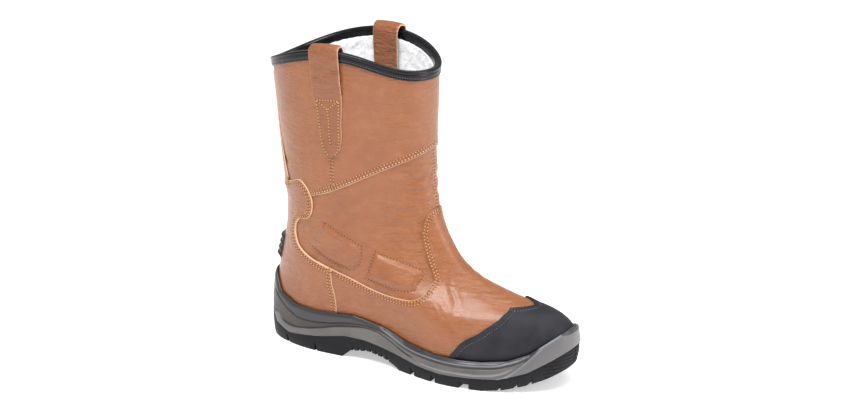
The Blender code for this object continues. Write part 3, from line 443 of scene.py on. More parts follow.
# Creases pressed in by wear and by lasting, each through three places: angle and level at its
# start, middle and end, then its half-width and depth.
ANKLE_CREASES = columns("a0 l0 a1 l1 a2 l2 width depth", (
    (2, 9.75, 20, 9.55, 40, 9.62, 2.6, 0.75),
    (4, 9.30, 22, 9.12, 46, 9.25, 3.0, 0.85),
    (6, 8.86, 26, 8.80, 50, 8.98, 2.6, 0.70),
    (34, 8.35, 48, 8.55, 62, 8.85, 2.8, 0.60),
    (38, 7.75, 50, 8.05, 66, 8.45, 3.0, 0.60),
    (42, 7.15, 52, 7.50, 64, 7.95, 2.8, 0.50),
    (60, 9.45, 74, 9.20, 92, 8.95, 4.0, 0.45),
    (70, 8.60, 84, 8.45, 100, 8.55, 4.0, 0.40),
    (-4, 9.60, -22, 9.48, -44, 9.66, 2.8, 0.80),
    (-6, 9.10, -24, 8.95, -50, 9.15, 3.0, 0.80),
    (-34, 8.30, -50, 8.55, -66, 8.90, 3.0, 0.65),
    (-40, 7.60, -54, 7.95, -70, 8.45, 3.0, 0.60),
))
LEG_CREASES = columns("a0 l0 a1 l1 a2 l2 width depth", (
    (34, 11.10, 50, 10.98, 72, 11.06, 2.6, 0.35),
    (26, 11.62, 40, 11.50, 58, 11.52, 2.6, 0.35),
    (50, 10.74, 62, 10.66, 78, 10.72, 2.4, 0.30),
    (120, 10.6, 138, 10.3, 150, 10.2, 4.0, 0.40),
    (-30, 11.30, -48, 11.18, -70, 11.26, 2.8, 0.40),
    (-110, 10.8, -130, 10.5, -150, 10.4, 4.0, 0.45),
))
VAMP_CREASES = columns("a0 l0 a1 l1 a2 l2 width depth", (
    (-24, 6.05, 2, 5.80, 26, 6.10, 1.7, 0.32),
    (-26, 5.60, 4, 5.38, 30, 5.72, 1.8, 0.40),
    (-28, 5.18, 2, 4.98, 34, 5.34, 1.9, 0.42),
    (-26, 4.80, 4, 4.60, 36, 4.96, 1.8, 0.38),
    (-22, 4.45, 6, 4.28, 36, 4.62, 1.7, 0.32),
    (-18, 4.12, 8, 3.98, 32, 4.24, 1.5, 0.26),
    (12, 5.58, 24, 5.46, 38, 5.72, 1.4, 0.30),
    (16, 4.86, 28, 4.80, 42, 5.10, 1.4, 0.28),
    (30, 5.60, 42, 4.90, 54, 4.10, 1.7, 0.40),
    (36, 5.25, 46, 4.55, 57, 3.70, 1.5, 0.32),
    (41, 4.90, 51, 4.20, 61, 3.30, 1.7, 0.40),
    (46, 4.62, 55, 3.95, 64, 3.05, 1.4, 0.28),
    (51, 4.40, 59, 3.70, 68, 2.80, 1.7, 0.36),
    (57, 4.20, 64, 3.45, 71, 2.60, 1.6, 0.32),
    (62, 4.00, 68, 3.30, 74, 2.45, 1.5, 0.28),
    (68, 3.85, 72, 3.10, 78, 2.25, 1.5, 0.26),
    (-34, 5.50, -46, 4.75, -58, 3.90, 1.8, 0.40),
    (-42, 4.95, -52, 4.20, -62, 3.40, 1.7, 0.36),
    (-50, 4.50, -59, 3.75, -68, 2.90, 1.7, 0.34),
))


CREASE_DEPTH = 1.1


def crease_height(points, table):
    """Soft troughs with a ridge on both sides, fading towards their ends."""
    height = np.zeros(len(points))
    share = np.linspace(0.0, 1.0, 25)
    for k in range(len(table["a0"])):
        ends = [np.array((table["a%d" % i][k], table["l%d" % i][k]), float) for i in range(3)]
        knee = 2.0 * ends[1] - 0.5 * (ends[0] + ends[2])
        path = (ends[0] * (1 - share[:, None]) ** 2 + 2 * knee * (share * (1 - share))[:, None]
                + ends[2] * share[:, None] ** 2)
        line = on_last(path)
        width, depth = table["width"][k], table["depth"][k]
        box = np.all((points > line.min(0) - 5 * width) & (points < line.max(0) + 5 * width), axis=1)
        near = points[box]
        if not len(near):
            continue
        gap = np.linalg.norm(near[:, None] - line, axis=-1)
        place = gap.argmin(axis=1)
        distance = distance_to(near, line) / width
        fade = np.sin(np.pi * np.clip(share[place], 0.0, 1.0)) ** 0.6
        trough = np.exp(-distance ** 2) - 0.45 * np.exp(-((distance - 2.0) / 0.9) ** 2)
        height[box] -= CREASE_DEPTH * depth * fade * trough
    return height


def waves(points, size, seed):
    """Gentle unevenness: a few fixed waves that cross each other."""
    rng = np.random.default_rng(seed)
    total = np.zeros(len(points))
    for _ in range(7):
        way = unit(rng.normal(size=3))
        total += np.sin(points @ way * (2 * math.pi / (size * rng.uniform(0.7, 1.5))) + rng.uniform(0, 6.28))
    return total / 7.0


def smooth(value):
    value = np.clip(value, 0.0, 1.0)
    return value * value * (3.0 - 2.0 * value)


def valley(points, line, width=0.7):
    """1 on a line, falling to 0 beside it."""
    return np.exp(-(distance_to(points, line) / width) ** 2)


def between(values, ends):
    return (values > ends[0]) & (values < ends[1])


def distance_to_any(points, lines):
    """Distance of each point from the nearest of several lines, or FAR."""
    return np.min([np.full(len(points), FAR)] + [distance_to(points, line) for line in lines], axis=0)


def shell(over, under, faces):
    """Points and faces of a closed shell between two like surfaces, and the edges of its walls."""
    count, sides = len(over), faces.shape[1]
    edges = np.vstack([faces[:, [k, (k + 1) % sides]] for k in range(sides)])
    ends, found = np.unique(np.sort(edges, axis=1), axis=0, return_counts=True)
    walls = ends[found == 1]
    closed = [tuple(face) for face in faces] + [tuple(face[::-1] + count) for face in faces]
    closed += [(a, b, b + count, a + count) for a, b in walls]
    return np.vstack((over, under)), closed, walls


# Leather panels, in millimetres: their mesh, and the dents that their sewing makes.
SPACING = 1.9
SAME_PLACE = 0.05
FAR = 9.0
EDGE_GAPS = (0.22, 0.5, 0.85, 1.6, 2.6, 3.6, 4.6, 5.6)
ROW_GAPS = (-0.9, 0.0, 0.9)
ROW_DEPTH, ROW_WIDTH = 0.3, 0.9
SEAM_SNAP = 0.15                       # degrees
BESIDE_ANGLES = (0.2, 179.8)
LATTICE_ANGLES = (0.3, 179.7)
BESIDE_CLEAR = 0.18
BORDER_CLEAR, LINE_CLEAR = 0.6, 0.55   # shares of the spacing


class Panel:
    """A piece of leather on the last: its outline, seams and relief, on both halves.

    edges are the cut edges that show, rounded over; the border closes the outline under
    other pieces or along a fold, where the two halves join.
    """

    def __init__(self, name, border, edges, base, origin, creases=None, rows=(), relief=None,
                 wave=(0.25, 34.0), seed=1, thick=LEATHER, pale_from=-1.0):
        self.name, self.border, self.edges, self.rows = name, border, edges, rows
        self.base, self.thick, self.wave, self.seed = base, thick, wave, seed
        self.creases, self.relief, self.pale_from = creases, relief, pale_from
        self.chart = Chart(origin)
        self.edge_lines = [on_last(edge) for edge in edges]
        self.row_lines = [on_last(row) for row in rows]

    def height(self, angle, level):
        """Height of the panel's face off the last, without its rounded edges."""
        points = last_points(angle, level)
        total = self.base + self.wave[0] * waves(points, self.wave[1], self.seed)
        if self.creases is not None:
            total += crease_height(points, self.creases)
        outer = last_points(np.abs(np.atleast_1d(angle)), level)
        for line in self.row_lines:
            total -= ROW_DEPTH * valley(outer, line, ROW_WIDTH)
        if self.relief is not None:
            total += self.relief(np.atleast_1d(angle), np.atleast_1d(level), outer)
        return total

    def face_points(self, places):
        angle, level = places[:, 0], places[:, 1]
        return skin(angle, level, self.height(angle, level))

    def cut(self):
        """Places of the outer half's vertices, and its triangles."""
        outline = np.vstack(self.border)
        keep = np.linalg.norm(np.diff(on_last(outline), axis=0), axis=1) > SAME_PLACE
        outline = outline[np.concatenate(([True], keep))]
        polygon = self.chart.to_flat(outline)
        if np.linalg.norm(polygon[0] - polygon[-1]) < SAME_PLACE:
            polygon, outline = polygon[:-1], outline[:-1]
        closed = np.vstack((polygon, polygon[:1]))
        beside = [sidestep(edge, side * gap) for edge in self.edges for side in (1, -1) for gap in EDGE_GAPS]
        beside += [sidestep(row, gap) for row in self.rows for gap in ROW_GAPS]
        extra = np.vstack([outline[:0], *beside])
        flat_extra = self.chart.to_flat(extra)
        held = inside(flat_extra, polygon) & between(extra[:, 0], BESIDE_ANGLES)
        held &= distance_to(flat_extra, closed) > BESIDE_CLEAR
        extra, flat_extra = extra[held], flat_extra[held]
        lattice = self.chart.lattice(SPACING, polygon.min(0), polygon.max(0))
        lattice = lattice[between(lattice[:, 0], LATTICE_ANGLES)]
        flat = self.chart.to_flat(lattice)
        held = inside(flat, polygon) & (distance_to(flat, closed) > BORDER_CLEAR * SPACING)
        lattice, flat = lattice[held], flat[held]
        held = nearest(flat, flat_extra) > LINE_CLEAR * SPACING
        lattice, flat = lattice[held], flat[held]
        everything = np.vstack((polygon, flat_extra, flat))
        ring = [(i, (i + 1) % len(polygon)) for i in range(len(polygon))]
        made, _, faces, origins, _, _ = delaunay_2d_cdt([Vector(p) for p in everything], ring, [], 0, 1e-5)
        made = np.array([tuple(p) for p in made])
        source = np.array([origin[0] if origin else -1 for origin in origins])
        for lost in np.flatnonzero(source < 0):
            source[lost] = np.linalg.norm(everything - made[lost], axis=1).argmin()
        places = np.vstack((outline, extra, lattice))[source]
        faces = np.array([face for face in faces if len(face) == 3])
        faces = faces[inside(made[faces].mean(axis=1), polygon)]
        used, faces = np.unique(faces, return_inverse=True)
        return places[used], faces.reshape(-1, 3)

    def build(self, paints, slot, node):
        """The panel as a closed shell on both halves, with its cut edges in the second paint."""
        places, faces = self.cut()
        for seam in (0.0, 180.0):
            places[np.abs(places[:, 0] - seam) < SEAM_SNAP, 0] = seam
        edge = distance_to_any(on_last(places), self.edge_lines)
        doubled = (places[:, 0] != 0.0) & (places[:, 0] != 180.0)
        twin = np.where(doubled, len(places) + np.cumsum(doubled) - 1, np.arange(len(places)))
        angle = np.concatenate((places[:, 0], -places[doubled, 0]))
        level = np.concatenate((places[:, 1], places[doubled, 1]))
        edge = np.concatenate((edge, edge[doubled]))
        faces = np.vstack((faces, twin[faces[:, ::-1]]))
        lift = np.clip(1.0 - edge / EDGE_ROUND, 0.0, 1.0)
        drop = EDGE_ROUND * (1.0 - np.sqrt(np.maximum(1.0 - lift ** 2, 0.0))) * 0.8
        over = skin(angle, level, self.height(angle, level) - drop)
        under = skin(angle, level, self.base - self.thick)
        points, closed, walls = shell(over, under, faces)
        # Cut edges painted pale with raw edge colour, only past pale_from: this keeps the vamp's pale edge
        # to its lit part, as a painted highlight.
        pale = np.where(np.abs(angle) > self.pale_from, edge, FAR)
        paint_of = [0] * (2 * len(faces)) + [int(pale[a] < 0.1 and pale[b] < 0.1) for a, b in walls]
        # Distance from the sewn rows, for the painted shade along them.
        sewn = distance_to_any(last_points(np.abs(angle), level), self.row_lines)
        marks = {"edge": np.tile(pale, 2), "seam": np.tile(sewn, 2)}
        return write(self.name, points, closed, paints, [node], paint_of, marks, sharp=50.0)


def nearest(points, others, size=3.0):
    """Distance of each flat point from the nearest of the others, up to a cell's size."""
    cells = {}
    for i, key in enumerate(map(tuple, np.floor(others / size).astype(int))):
        cells.setdefault(key, []).append(i)
    found = np.full(len(points), size)
    beside = [(dx, dy) for dx in (-1, 0, 1) for dy in (-1, 0, 1)]
    for i, (x, y) in enumerate(np.floor(points / size).astype(int)):
        close = [j for dx, dy in beside for j in cells.get((x + dx, y + dy), ())]
        if close:
            found[i] = min(size, np.linalg.norm(others[close] - points[i], axis=1).min())
    return found


# Sewing: spacing of the stitches, their length and thickness, and the needle holes.
STITCH_PITCH = 3.1
STITCH_LENGTH = 1.9
THREAD = 0.46
HOLE = 0.68
HOLE_RISE = 0.2

# A stitch and a hole, as points ahead, sideways and up. The stitch has two ends and three rings.
TURN = np.linspace(0, 2 * math.pi, 7)[:-1]
STITCH_RINGS = ((-0.72, 0.82), (0.0, 1.0), (0.72, 0.82))
STITCH = np.array([(-1.0, 0.0, 0.0)]
                  + [(at, math.cos(t) * wide, math.sin(t) * wide) for at, wide in STITCH_RINGS for t in TURN]
                  + [(1.0, 0.0, 0.0)])
STITCH_FACES = ([(0, 1 + (k + 1) % 6, 1 + k) for k in range(6)]
                + [(1 + r + k, 1 + r + (k + 1) % 6, 7 + r + (k + 1) % 6, 7 + r + k)
                   for r in (0, 6) for k in range(6)]
                + [(13 + k, 13 + (k + 1) % 6, 19) for k in range(6)])
# A needle hole: a small dark lens on the surface, standing in as painted shade for the hole.
NEEDLE_HOLE = np.array([(math.cos(t), math.sin(t), 0.0) for t in TURN] + [(0, 0, 1.0), (0, 0, -1.0)])
HOLE_FACES = [(k, (k + 1) % 6, 6) for k in range(6)] + [((k + 1) % 6, k, 7) for k in range(6)]


def copies(count, size, faces):
    """Faces of many copies of one small form, each with so many points."""
    return [tuple(size * i + v for v in face) for i in range(count) for face in faces]


def placed(form, middle, ways):
    """A small form set at each middle, along that place's own three directions."""
    points = middle[:, None]
    for way, share in zip(ways, form.T):
        points = points + way[:, None] * share[:, None]
    return points


class Thread:
    """Collects stitches and the dark discs of painted shade at their needle holes, and writes them as two
    joined pieces.
    """

    def __init__(self):
        self.stitches, self.holes = [], []

    def sew(self, line, normal, thick=THREAD, pitch=STITCH_PITCH, length=STITCH_LENGTH, hole=HOLE):
        """Stitches along a line on a surface, whose normals are given."""
        reach = reach_along(line)
        number = max(1, round(reach[-1] / pitch))
        centres = (np.arange(number) + 0.5) * reach[-1] / number
        middle = at_reach(centres, reach, line)
        back, front = (at_reach(centres + half, reach, line) for half in (-length / 2, length / 2))
        ahead = unit(front - back)
        up = unit(at_reach(centres, reach, normal))
        side = unit(np.cross(up, ahead))
        stitch = STITCH * (length / 2, thick, thick * 0.85)
        stitch[:, 2] += 0.22 - 0.5 * STITCH[:, 0] ** 2
        self.stitches.append(placed(stitch, middle, (ahead, side, up)))
        if hole:
            ends = np.vstack((middle - ahead * pitch * 0.5, middle[-1:] + ahead[-1:] * pitch * 0.5))
            ways = [np.vstack((way, way[-1:])) for way in (ahead, side, up)]
            self.holes.append(placed(NEEDLE_HOLE * (hole, hole, HOLE_RISE), ends, ways))

    def sew_panel(self, panel, places, **how):
        """The same row on both halves of a panel."""
        for side in (1, -1):
            spots = resample(places, 1.2)
            spots[:, 0] *= side
            self.sew(panel.face_points(spots), normals(spots[:, 0], spots[:, 1]), **how)

    def finish(self, name, paint, dark, slot):
        for end, solids, faces, colour in (("", self.stitches, STITCH_FACES, paint),
                                           ("_hole_shades", self.holes, HOLE_FACES, dark)):
            if solids:
                points = np.vstack(solids)
                index = copies(len(points), len(points[0]), faces)
                write(name + end, points.reshape(-1, 3), index, [colour], mend=False)


# Pieces of the upper. Rows of sewing stand at these distances inside a cut edge.
DOUBLE_ROW = (2.0, 4.8)
CAP_ROW = 5.2
STRIP_ROW = 2.0
TUCK = 3.6
TUCK_RIM = 0.5
SEAM_GAP = 1.5
PAD_RISE = 2.8
PAD_SLOPE = 5.5
PAD_OPEN_FROM, PAD_FADE = 120.0, 12.0
LEG_TOP, STRIP_TOP = 12.97, 12.75
# Seams and hidden borders, as places or as levels up a seam.
SIDE_SEAM = ((93.6, 9.55), (91.9, 10.55))
SIDE_STEP_LEVELS, SIDE_STEP_ANGLES = (9.5, 10.6), (93.6, 91.8)
FRONT_SEAM = (8.48, 10.52)
ANKLE_REAR_END = 145.0
ANKLE_REAR = ((136.0, 6.2), (ANKLE_REAR_END, 6.6))
VAMP_REAR = ((114.0, 5.7), (118.0, 3.4), (119.0, 1.3), (119.0, 0.6))
STRIP_FOOT = ((141.0, 9.4), (180.0, 9.35))
# The counter's tab stands out above this level and behind this angle.
TAB_RISE = 1.1
TAB_LEVEL, TAB_ANGLE = 9.05, 138.0


def fold(angle, first, final, step=2.0):
    """Even places up the line where a panel's two halves join."""
    return resample(((angle, first), (angle, final)), step)


def rim_places(first, final):
    """Places just inside the cup sole's rim."""
    angles = np.linspace(first, final, max(2, int(abs(final - first) / 2.0)) + 1)
    return np.stack((angles, np.maximum(rim_level(angles) - TUCK_RIM, 0.0)), axis=1)


def above_rim(places):
    return places[places[:, 1] > np.maximum(rim_level(places[:, 0]) - TUCK_RIM, 0.0) + 0.02]


def part_of(places, low, high):
    return places[(places[:, 0] >= low) & (places[:, 0] <= high)]


def pad_height(line, open_from=math.inf):
    """Relief of a padded patch: stuffed inside its sewn outline, and flat outside it."""
    polygon, line_points = flatten(line), on_last(line)

    def height(angle, level, outer):
        within = inside(flatten(np.stack((np.abs(angle), level), axis=1)), polygon)
        rise = PAD_RISE * smooth(distance_to(outer, line_points) / PAD_SLOPE) * within
        return rise * smooth((open_from - np.abs(angle)) / PAD_FADE)

    return height


def make_leg():
    edge = trace(LEG_EDGE)
    border = [edge, fold(180.0, edge[-1, 1], LEG_TOP)[1:-1],
              resample(((180.0, LEG_TOP), (0.0, LEG_TOP)), 2.2), fold(0.0, LEG_TOP, edge[0, 1])[1:-1]]
    doubles = [sidestep(edge, -gap) for gap in DOUBLE_ROW]
    seam = resample(SIDE_SEAM, 1.5)
    seams = [sidestep(seam, side * SEAM_GAP) for side in (-1, 1)]
    centre = on_last(seam)

    def relief(angle, level, outer):
        step = np.interp(level, SIDE_STEP_LEVELS, SIDE_STEP_ANGLES)
        side = smooth((np.abs(angle) - step) / 0.8 + 0.5)
        return -0.35 * side * smooth((10.7 - level) / 0.15) - 0.3 * valley(outer, centre)

    panel = Panel("leg_leather", border, [edge], LEG_SKIN, 90.0, creases=LEG_CREASES, seed=3,
                  rows=doubles + seams, relief=relief, wave=(0.3, 46.0))
    return panel, doubles, seams


def make_ankle():
    low = sidestep(trace(FOOT_EDGE), TUCK)
    high = part_of(sidestep(trace(LEG_EDGE), -TUCK), -1.0, ANKLE_REAR_END)[::-1]
    low[0, 0] = high[-1, 0] = 0.0
    rear = resample((low[-1], *ANKLE_REAR, high[0]), 2.2)[1:-1]
    border = [low, rear, high, fold(0.0, high[-1, 1], low[0, 1])[1:-1]]
    pads = [trace(REAR_PATCH[:6], 1.5), trace(FRONT_PATCH, 1.5)]
    rear_pad = pad_height(trace(REAR_PATCH, 1.5), PAD_OPEN_FROM)
    front_pad = pad_height(pads[1])
    seam = fold(0.0, *FRONT_SEAM, 1.5)
    row = sidestep(seam, SEAM_GAP)
    centre = on_last(seam)

    def relief(angle, level, outer):
        pads_rise = rear_pad(angle, level, outer) + front_pad(angle, level, outer)
        return pads_rise - 0.45 * valley(outer, centre)

    panel = Panel("ankle_leather", border, [], ANKLE_SKIN, 75.0, creases=ANKLE_CREASES, seed=5,
                  rows=[*pads, row], relief=relief, wave=(0.3, 38.0))
    return panel, pads, row


def make_vamp():
    foot = trace(FOOT_EDGE)
    front = above_rim(sidestep(trace(CAP_EDGE), TUCK))[::-1]
    front[-1, 0] = 0.0
    rear = above_rim(resample(VAMP_REAR, 2.0)[1:])
    border = [foot, rear, rim_places(rear[-1, 0], front[0, 0]), front,
              fold(0.0, front[-1, 1], foot[0, 1])[1:-1]]
    doubles = [sidestep(foot, gap) for gap in DOUBLE_ROW]
    # Its foot edge is painted pale only past 47 degrees, where light falls on it: a painted highlight.
    panel = Panel("vamp_leather", border, [foot], LEG_SKIN, 60.0, creases=VAMP_CREASES, seed=8,
                  rows=doubles, wave=(0.3, 40.0), pale_from=47.0)
    return panel, doubles


def down_to_rim(rows, end):
    """A piece's edge down to the cup sole, and its border back along the rim and up the fold."""
    edge = above_rim(trace(rows))
    bottom = rim_places(edge[-1, 0], end)[1:]
    return edge, [edge, bottom, fold(end, bottom[-1, 1], edge[0, 1])[1:-1]]


def make_counter():
    edge, border = down_to_rim(COUNTER_EDGE, 180.0)
    doubles = [sidestep(edge, -gap) for gap in DOUBLE_ROW]

    def relief(angle, level, outer):
        return TAB_RISE * smooth((level - TAB_LEVEL) / 0.35) * smooth((np.abs(angle) - TAB_ANGLE) / 8.0)

    panel = Panel("counter_leather", border, [edge], COUNTER_SKIN, 150.0, relief=relief, seed=11,
                  rows=doubles[:1], wave=(0.25, 40.0), thick=1.8)
    return panel, doubles


def make_strip():
    side = trace(STRIP_EDGE)
    low = resample((side[-1], *STRIP_FOOT), 2.0)[1:]
    border = [resample(((180.0, STRIP_TOP), side[0]), 2.0)[:-1], side, low,
              fold(180.0, low[-1, 1], STRIP_TOP)[1:-1]]
    row = sidestep(side, -STRIP_ROW)
    panel = Panel("back_strip_leather", border, [side], STRIP_SKIN, 160.0, rows=[row], seed=13,
                  wave=(0.15, 30.0), thick=1.0)
    return panel, row


def make_cap():
    edge, border = down_to_rim(CAP_EDGE, 0.0)
    line = on_last(edge)

    def relief(angle, level, outer):
        return (CAP_BORDER - CAP_SKIN) * smooth((5.4 - distance_to(outer, line)) / 1.1)

    panel = Panel("toe_cap_skin", border, [edge], CAP_SKIN, 30.0, relief=relief, seed=17,
                  wave=(0.06, 40.0), thick=1.8)
    return panel, sidestep(edge, CAP_ROW)


def grid_faces(count, size, closed):
    """Quads between rows of vertices numbered row by row."""
    index = np.arange(count * size).reshape(count, size)
    right = np.roll(index, -1, axis=1)
    if not closed:
        index, right = index[:, :-1], right[:, :-1]
    return np.stack((index[:-1], right[:-1], right[1:], index[1:]), axis=-1).reshape(-1, 4)


def torus(name, rings, paint, nodes=(), marks=None, sharp=40.0):
    """A ring-shaped piece: closed loops joined one to the next, and the last to the first."""
    first = np.arange(len(rings[0]))
    ahead = np.roll(first, -1)
    top = (len(rings) - 1) * len(first)
    last_quads = np.stack((first + top, ahead + top, ahead, first), axis=-1)
    faces = np.vstack((grid_faces(len(rings), len(first), True), last_quads))
    return write(name, np.vstack(rings), faces, [paint], nodes, None, marks, sharp)


def all_round(count):
    """Even angles round the last, each place once."""
    return np.linspace(-180.0, 180.0, count + 1)[1:]


def collar_frame(angle):
    """The collar's edge, with the directions up along the leg and out of it."""
    edge = last_points(angle, TOP)
    up = unit(edge - last_points(angle, BELOW_EDGE))
    out = normals(angle, TOP - 2.0 * LEVEL_STEP)
    out = unit(out - up * (out * up).sum(axis=1, keepdims=True))
    return edge, up, out


# Section of the binding: distance out of the wall and height above its edge.
BINDING = np.array(((0.2, -7.3), (0.9, -7.6), (1.4, -7.3), (1.55, -6.5), (1.35, -5.6), (1.3, -5.2),
                    (1.6, -4.6), (1.72, -3.2), (1.65, -2.2), (1.5, -1.6), (1.75, -1.0), (2.05, -0.2),
                    (1.9, 0.6), (1.35, 1.2), (0.5, 1.5), (-1.0, 1.6), (-2.6, 1.5), (-3.9, 0.9),
                    (-4.6, 0.0), (-4.8, -1.4), (-4.75, -4.0), (-4.7, -6.6), (-4.2, -7.6), (-3.4, -7.6),
                    (-3.3, -4.0), (-3.2, 0.2), (0.2, 0.2), (0.2, -4.0)))
BINDING_COLUMNS = 360
BINDING_ROW = (1.42, -5.4)


def make_binding(paint):
    edge, up, out = collar_frame(all_round(BINDING_COLUMNS))
    ripple = 0.05 * waves(edge, 14.0, 21)
    rings = [edge + out * (off + ripple * (off > 0.5))[:, None] + up * high for off, high in BINDING]
    return torus("binding_skin", rings, paint, ["collar_binding"], sharp=60.0)


def binding_line():
    edge, up, out = collar_frame(np.linspace(-180.0, 180.0, 361))
    return edge + out * BINDING_ROW[0] + up * BINDING_ROW[1], out


# Pull straps: the same table as the frame's, then the way over the edge and down inside.
OUTER_STRAP, INNER_STRAP = 90.5, 85.0
STRAP_THICKNESS = 1.8
STRAP_OUTSIDE = columns("level half clear", (
    (10.41, 1.0, 0.35),
    (10.55, 5.2, 0.35),
    (10.8, 7.6, 0.35),
    (11.3, 8.7, 0.35),
    (11.83, 10.2, 0.4),
    (12.3, 10.2, 2.6),
    (12.7, 10.2, 3.2),
    (13.0, 10.2, 3.4),
))
STRAP_OVER = ((2.6, 3.6), (-0.6, 5.1), (-5.0, 4.5), (-8.4, 0.5), (-9.4, -7.0), (-9.4, -20.0),
              (-9.2, -34.0), (-9.0, -48.0))
STRAP_COLUMNS = 21
STRAP_STEP = 1.6
STRAP_WRINKLES = ((12.0, 4.0, 1.6, 0.3), (19.0, 6.0, 1.7, 0.4), (25.0, -5.0, 1.8, 0.4),
                  (31.0, 3.0, 1.6, 0.35), (39.0, -3.0, 2.0, 0.3), (46.0, 4.0, 2.0, 0.35))
WRINKLE_DEPTH = 1.6


class Strap:
    """Pull strap of one side: smooth rows of points under and over the leather."""

    def __init__(self, side):
        self.side = side
        shares = np.sin(np.linspace(-1.0, 1.0, STRAP_COLUMNS) * math.pi / 2)
        centre = OUTER_STRAP if side > 0 else INNER_STRAP
        under, over = [], []
        for level, half, clear in zip(*STRAP_OUTSIDE.values()):
            angle = side * (centre + shares * half)
            point, normal = last_points(angle, level), normals(angle, level)
            under.append(point + normal * clear)
            over.append(point + normal * (clear + STRAP_THICKNESS))
        edge, up, out = collar_frame(side * (centre + shares * STRAP_OUTSIDE["half"][-1]))
        path = [(STRAP_OUTSIDE["clear"][-1], 0.0), *STRAP_OVER]
        for i in range(1, len(path)):
            back = np.subtract(path[i], path[i - 1])
            ahead = np.subtract(path[min(i + 1, len(path) - 1)], path[i])
            way = back / np.linalg.norm(back) + ahead / max(np.linalg.norm(ahead), 1e-6)
            way /= np.linalg.norm(way)
            top = (path[i][0] + way[1] * STRAP_THICKNESS, path[i][1] - way[0] * STRAP_THICKNESS)
            under.append(edge + out * path[i][0] + up * path[i][1])
            over.append(edge + out * top[0] + up * top[1])
        under, over = np.array(under), np.array(over)
        middle = 0.5 * (under + over)[:, STRAP_COLUMNS // 2]
        reach = reach_along(middle)
        self.at = np.linspace(0.0, reach[-1], round(reach[-1] / STRAP_STEP) + 1)
        self.under = self.through(reach, under)
        self.over = self.through(reach, over)
        self.shares = shares
        self.low, self.sewn = reach[1] * 0.35, reach[4]

    def through(self, reach, rows):
        flat = rows.reshape(len(rows), -1)
        curves = np.stack([along(reach, column, self.at) for column in flat.T], axis=1)
        return curves.reshape(-1, STRAP_COLUMNS, 3)

    def wrinkles(self):
        """Height of the leather's creases over the loop, along and across the strap."""
        s, t = np.meshgrid(self.at - self.sewn, self.shares, indexing="ij")
        places = np.stack((s, t * 14.0, s * 0), axis=-1).reshape(-1, 3)
        height = 0.18 * waves(places, 16.0, 31).reshape(s.shape)
        for place, lean, width, depth in STRAP_WRINKLES:
            height -= WRINKLE_DEPTH * depth * np.exp(-((s - place - lean * t) / width) ** 2)
        return height

    def build(self, name, node, paints):
        rounded = EDGE_ROUND * smooth((np.abs(self.shares) - 0.93) / 0.07)
        over = self.over + unit(self.over - self.under) * (self.wrinkles() - rounded)[..., None]
        faces = grid_faces(len(self.at), STRAP_COLUMNS, False)
        points, closed, walls = shell(over.reshape(-1, 3), self.under.reshape(-1, 3), faces)
        paint_of = [0] * (2 * len(faces)) + [1] * len(walls)
        marks = {"edge": np.tile((1 - np.abs(self.shares)) * 14.0, 2 * len(self.at))}
        return write(name, points, closed, paints, [node], paint_of, marks, sharp=50.0)

    def point(self, s, share):
        """Places on the strap's outer face and their normals, by distance along and share across."""
        s, share = np.atleast_1d(s).astype(float), np.atleast_1d(share).astype(float)
        row = np.interp(s, self.at, np.arange(len(self.at)))
        column = np.interp(share, self.shares, np.arange(STRAP_COLUMNS))
        r = np.minimum(row.astype(int), len(self.at) - 2)
        c = np.minimum(column.astype(int), STRAP_COLUMNS - 2)
        u, v = (row - r)[:, None], (column - c)[:, None]
        mix = lambda grid: ((grid[r, c] * (1 - v) + grid[r, c + 1] * v) * (1 - u)
                            + (grid[r + 1, c] * (1 - v) + grid[r + 1, c + 1] * v) * u)
        over, under = mix(self.over), mix(self.under)
        return over, unit(over - under)

    def sew(self, thread):
        """Outline, centre line, bar and V, as on the outer face below the loop."""
        low, high = self.low, self.sewn + 1.0
        side, tip = 0.80, high - 9.0
        share = np.linspace(0.0, 1.0, 40)
        for s0, s1, t0, t1 in ((low, high, side, side), (low, high, -side, -side), (high, high, -side, side),
                               (high, tip, -side, 0.0), (high, tip, side, 0.0), (12.0, tip, 0.0, 0.0)):
            line, normal = self.point(s0 + (s1 - s0) * share, t0 + (t1 - t0) * share)
            thread.sew(line, normal, pitch=2.9, length=2.2)


# Lining: fleece from the binding down to the footbed, between these levels.
LINING_SIDE = -3.05
LINING_COLUMNS = 300
LINING_LOW, LINING_SEEN, LINING_TOP = 0.6, 9.5, 12.84
PILE = 2.6
FIBRES = 11000
FIBRE_TOP, FIBRE_REACH = 12.8, 2.8
FIBRE_FORM = ((0, 1, 4, 3), (1, 2, 5, 4), (2, 0, 3, 5), (3, 4, 6), (4, 5, 6), (5, 3, 6), (0, 2, 1))


def pile_off(angle, level):
    """Height of the lumpy pile off the last: it stands inwards, so it is negative."""
    points = last_points(angle, level)
    lumps = 0.5 * waves(points, 5.0, 41) + 0.5 * waves(points, 2.6, 43) + 0.4 * waves(points, 11.0, 47)
    return LINING_SIDE - PILE * (0.55 + 0.9 * np.clip(lumps + 0.35, 0.0, 1.0))


def make_lining(paint):
    angle = all_round(LINING_COLUMNS)
    rings = [skin(angle, level, pile_off(angle, level)) for levels in
             (np.arange(LINING_LOW, LINING_SEEN, 0.16), np.arange(LINING_SEEN, LINING_TOP, 0.055))
             for level in levels]
    rings += [skin(angle, level, LINING_SIDE + 0.35) for level in np.linspace(LINING_TOP, LINING_LOW, 40)]
    return torus("fleece_lining", rings, paint, sharp=180.0)


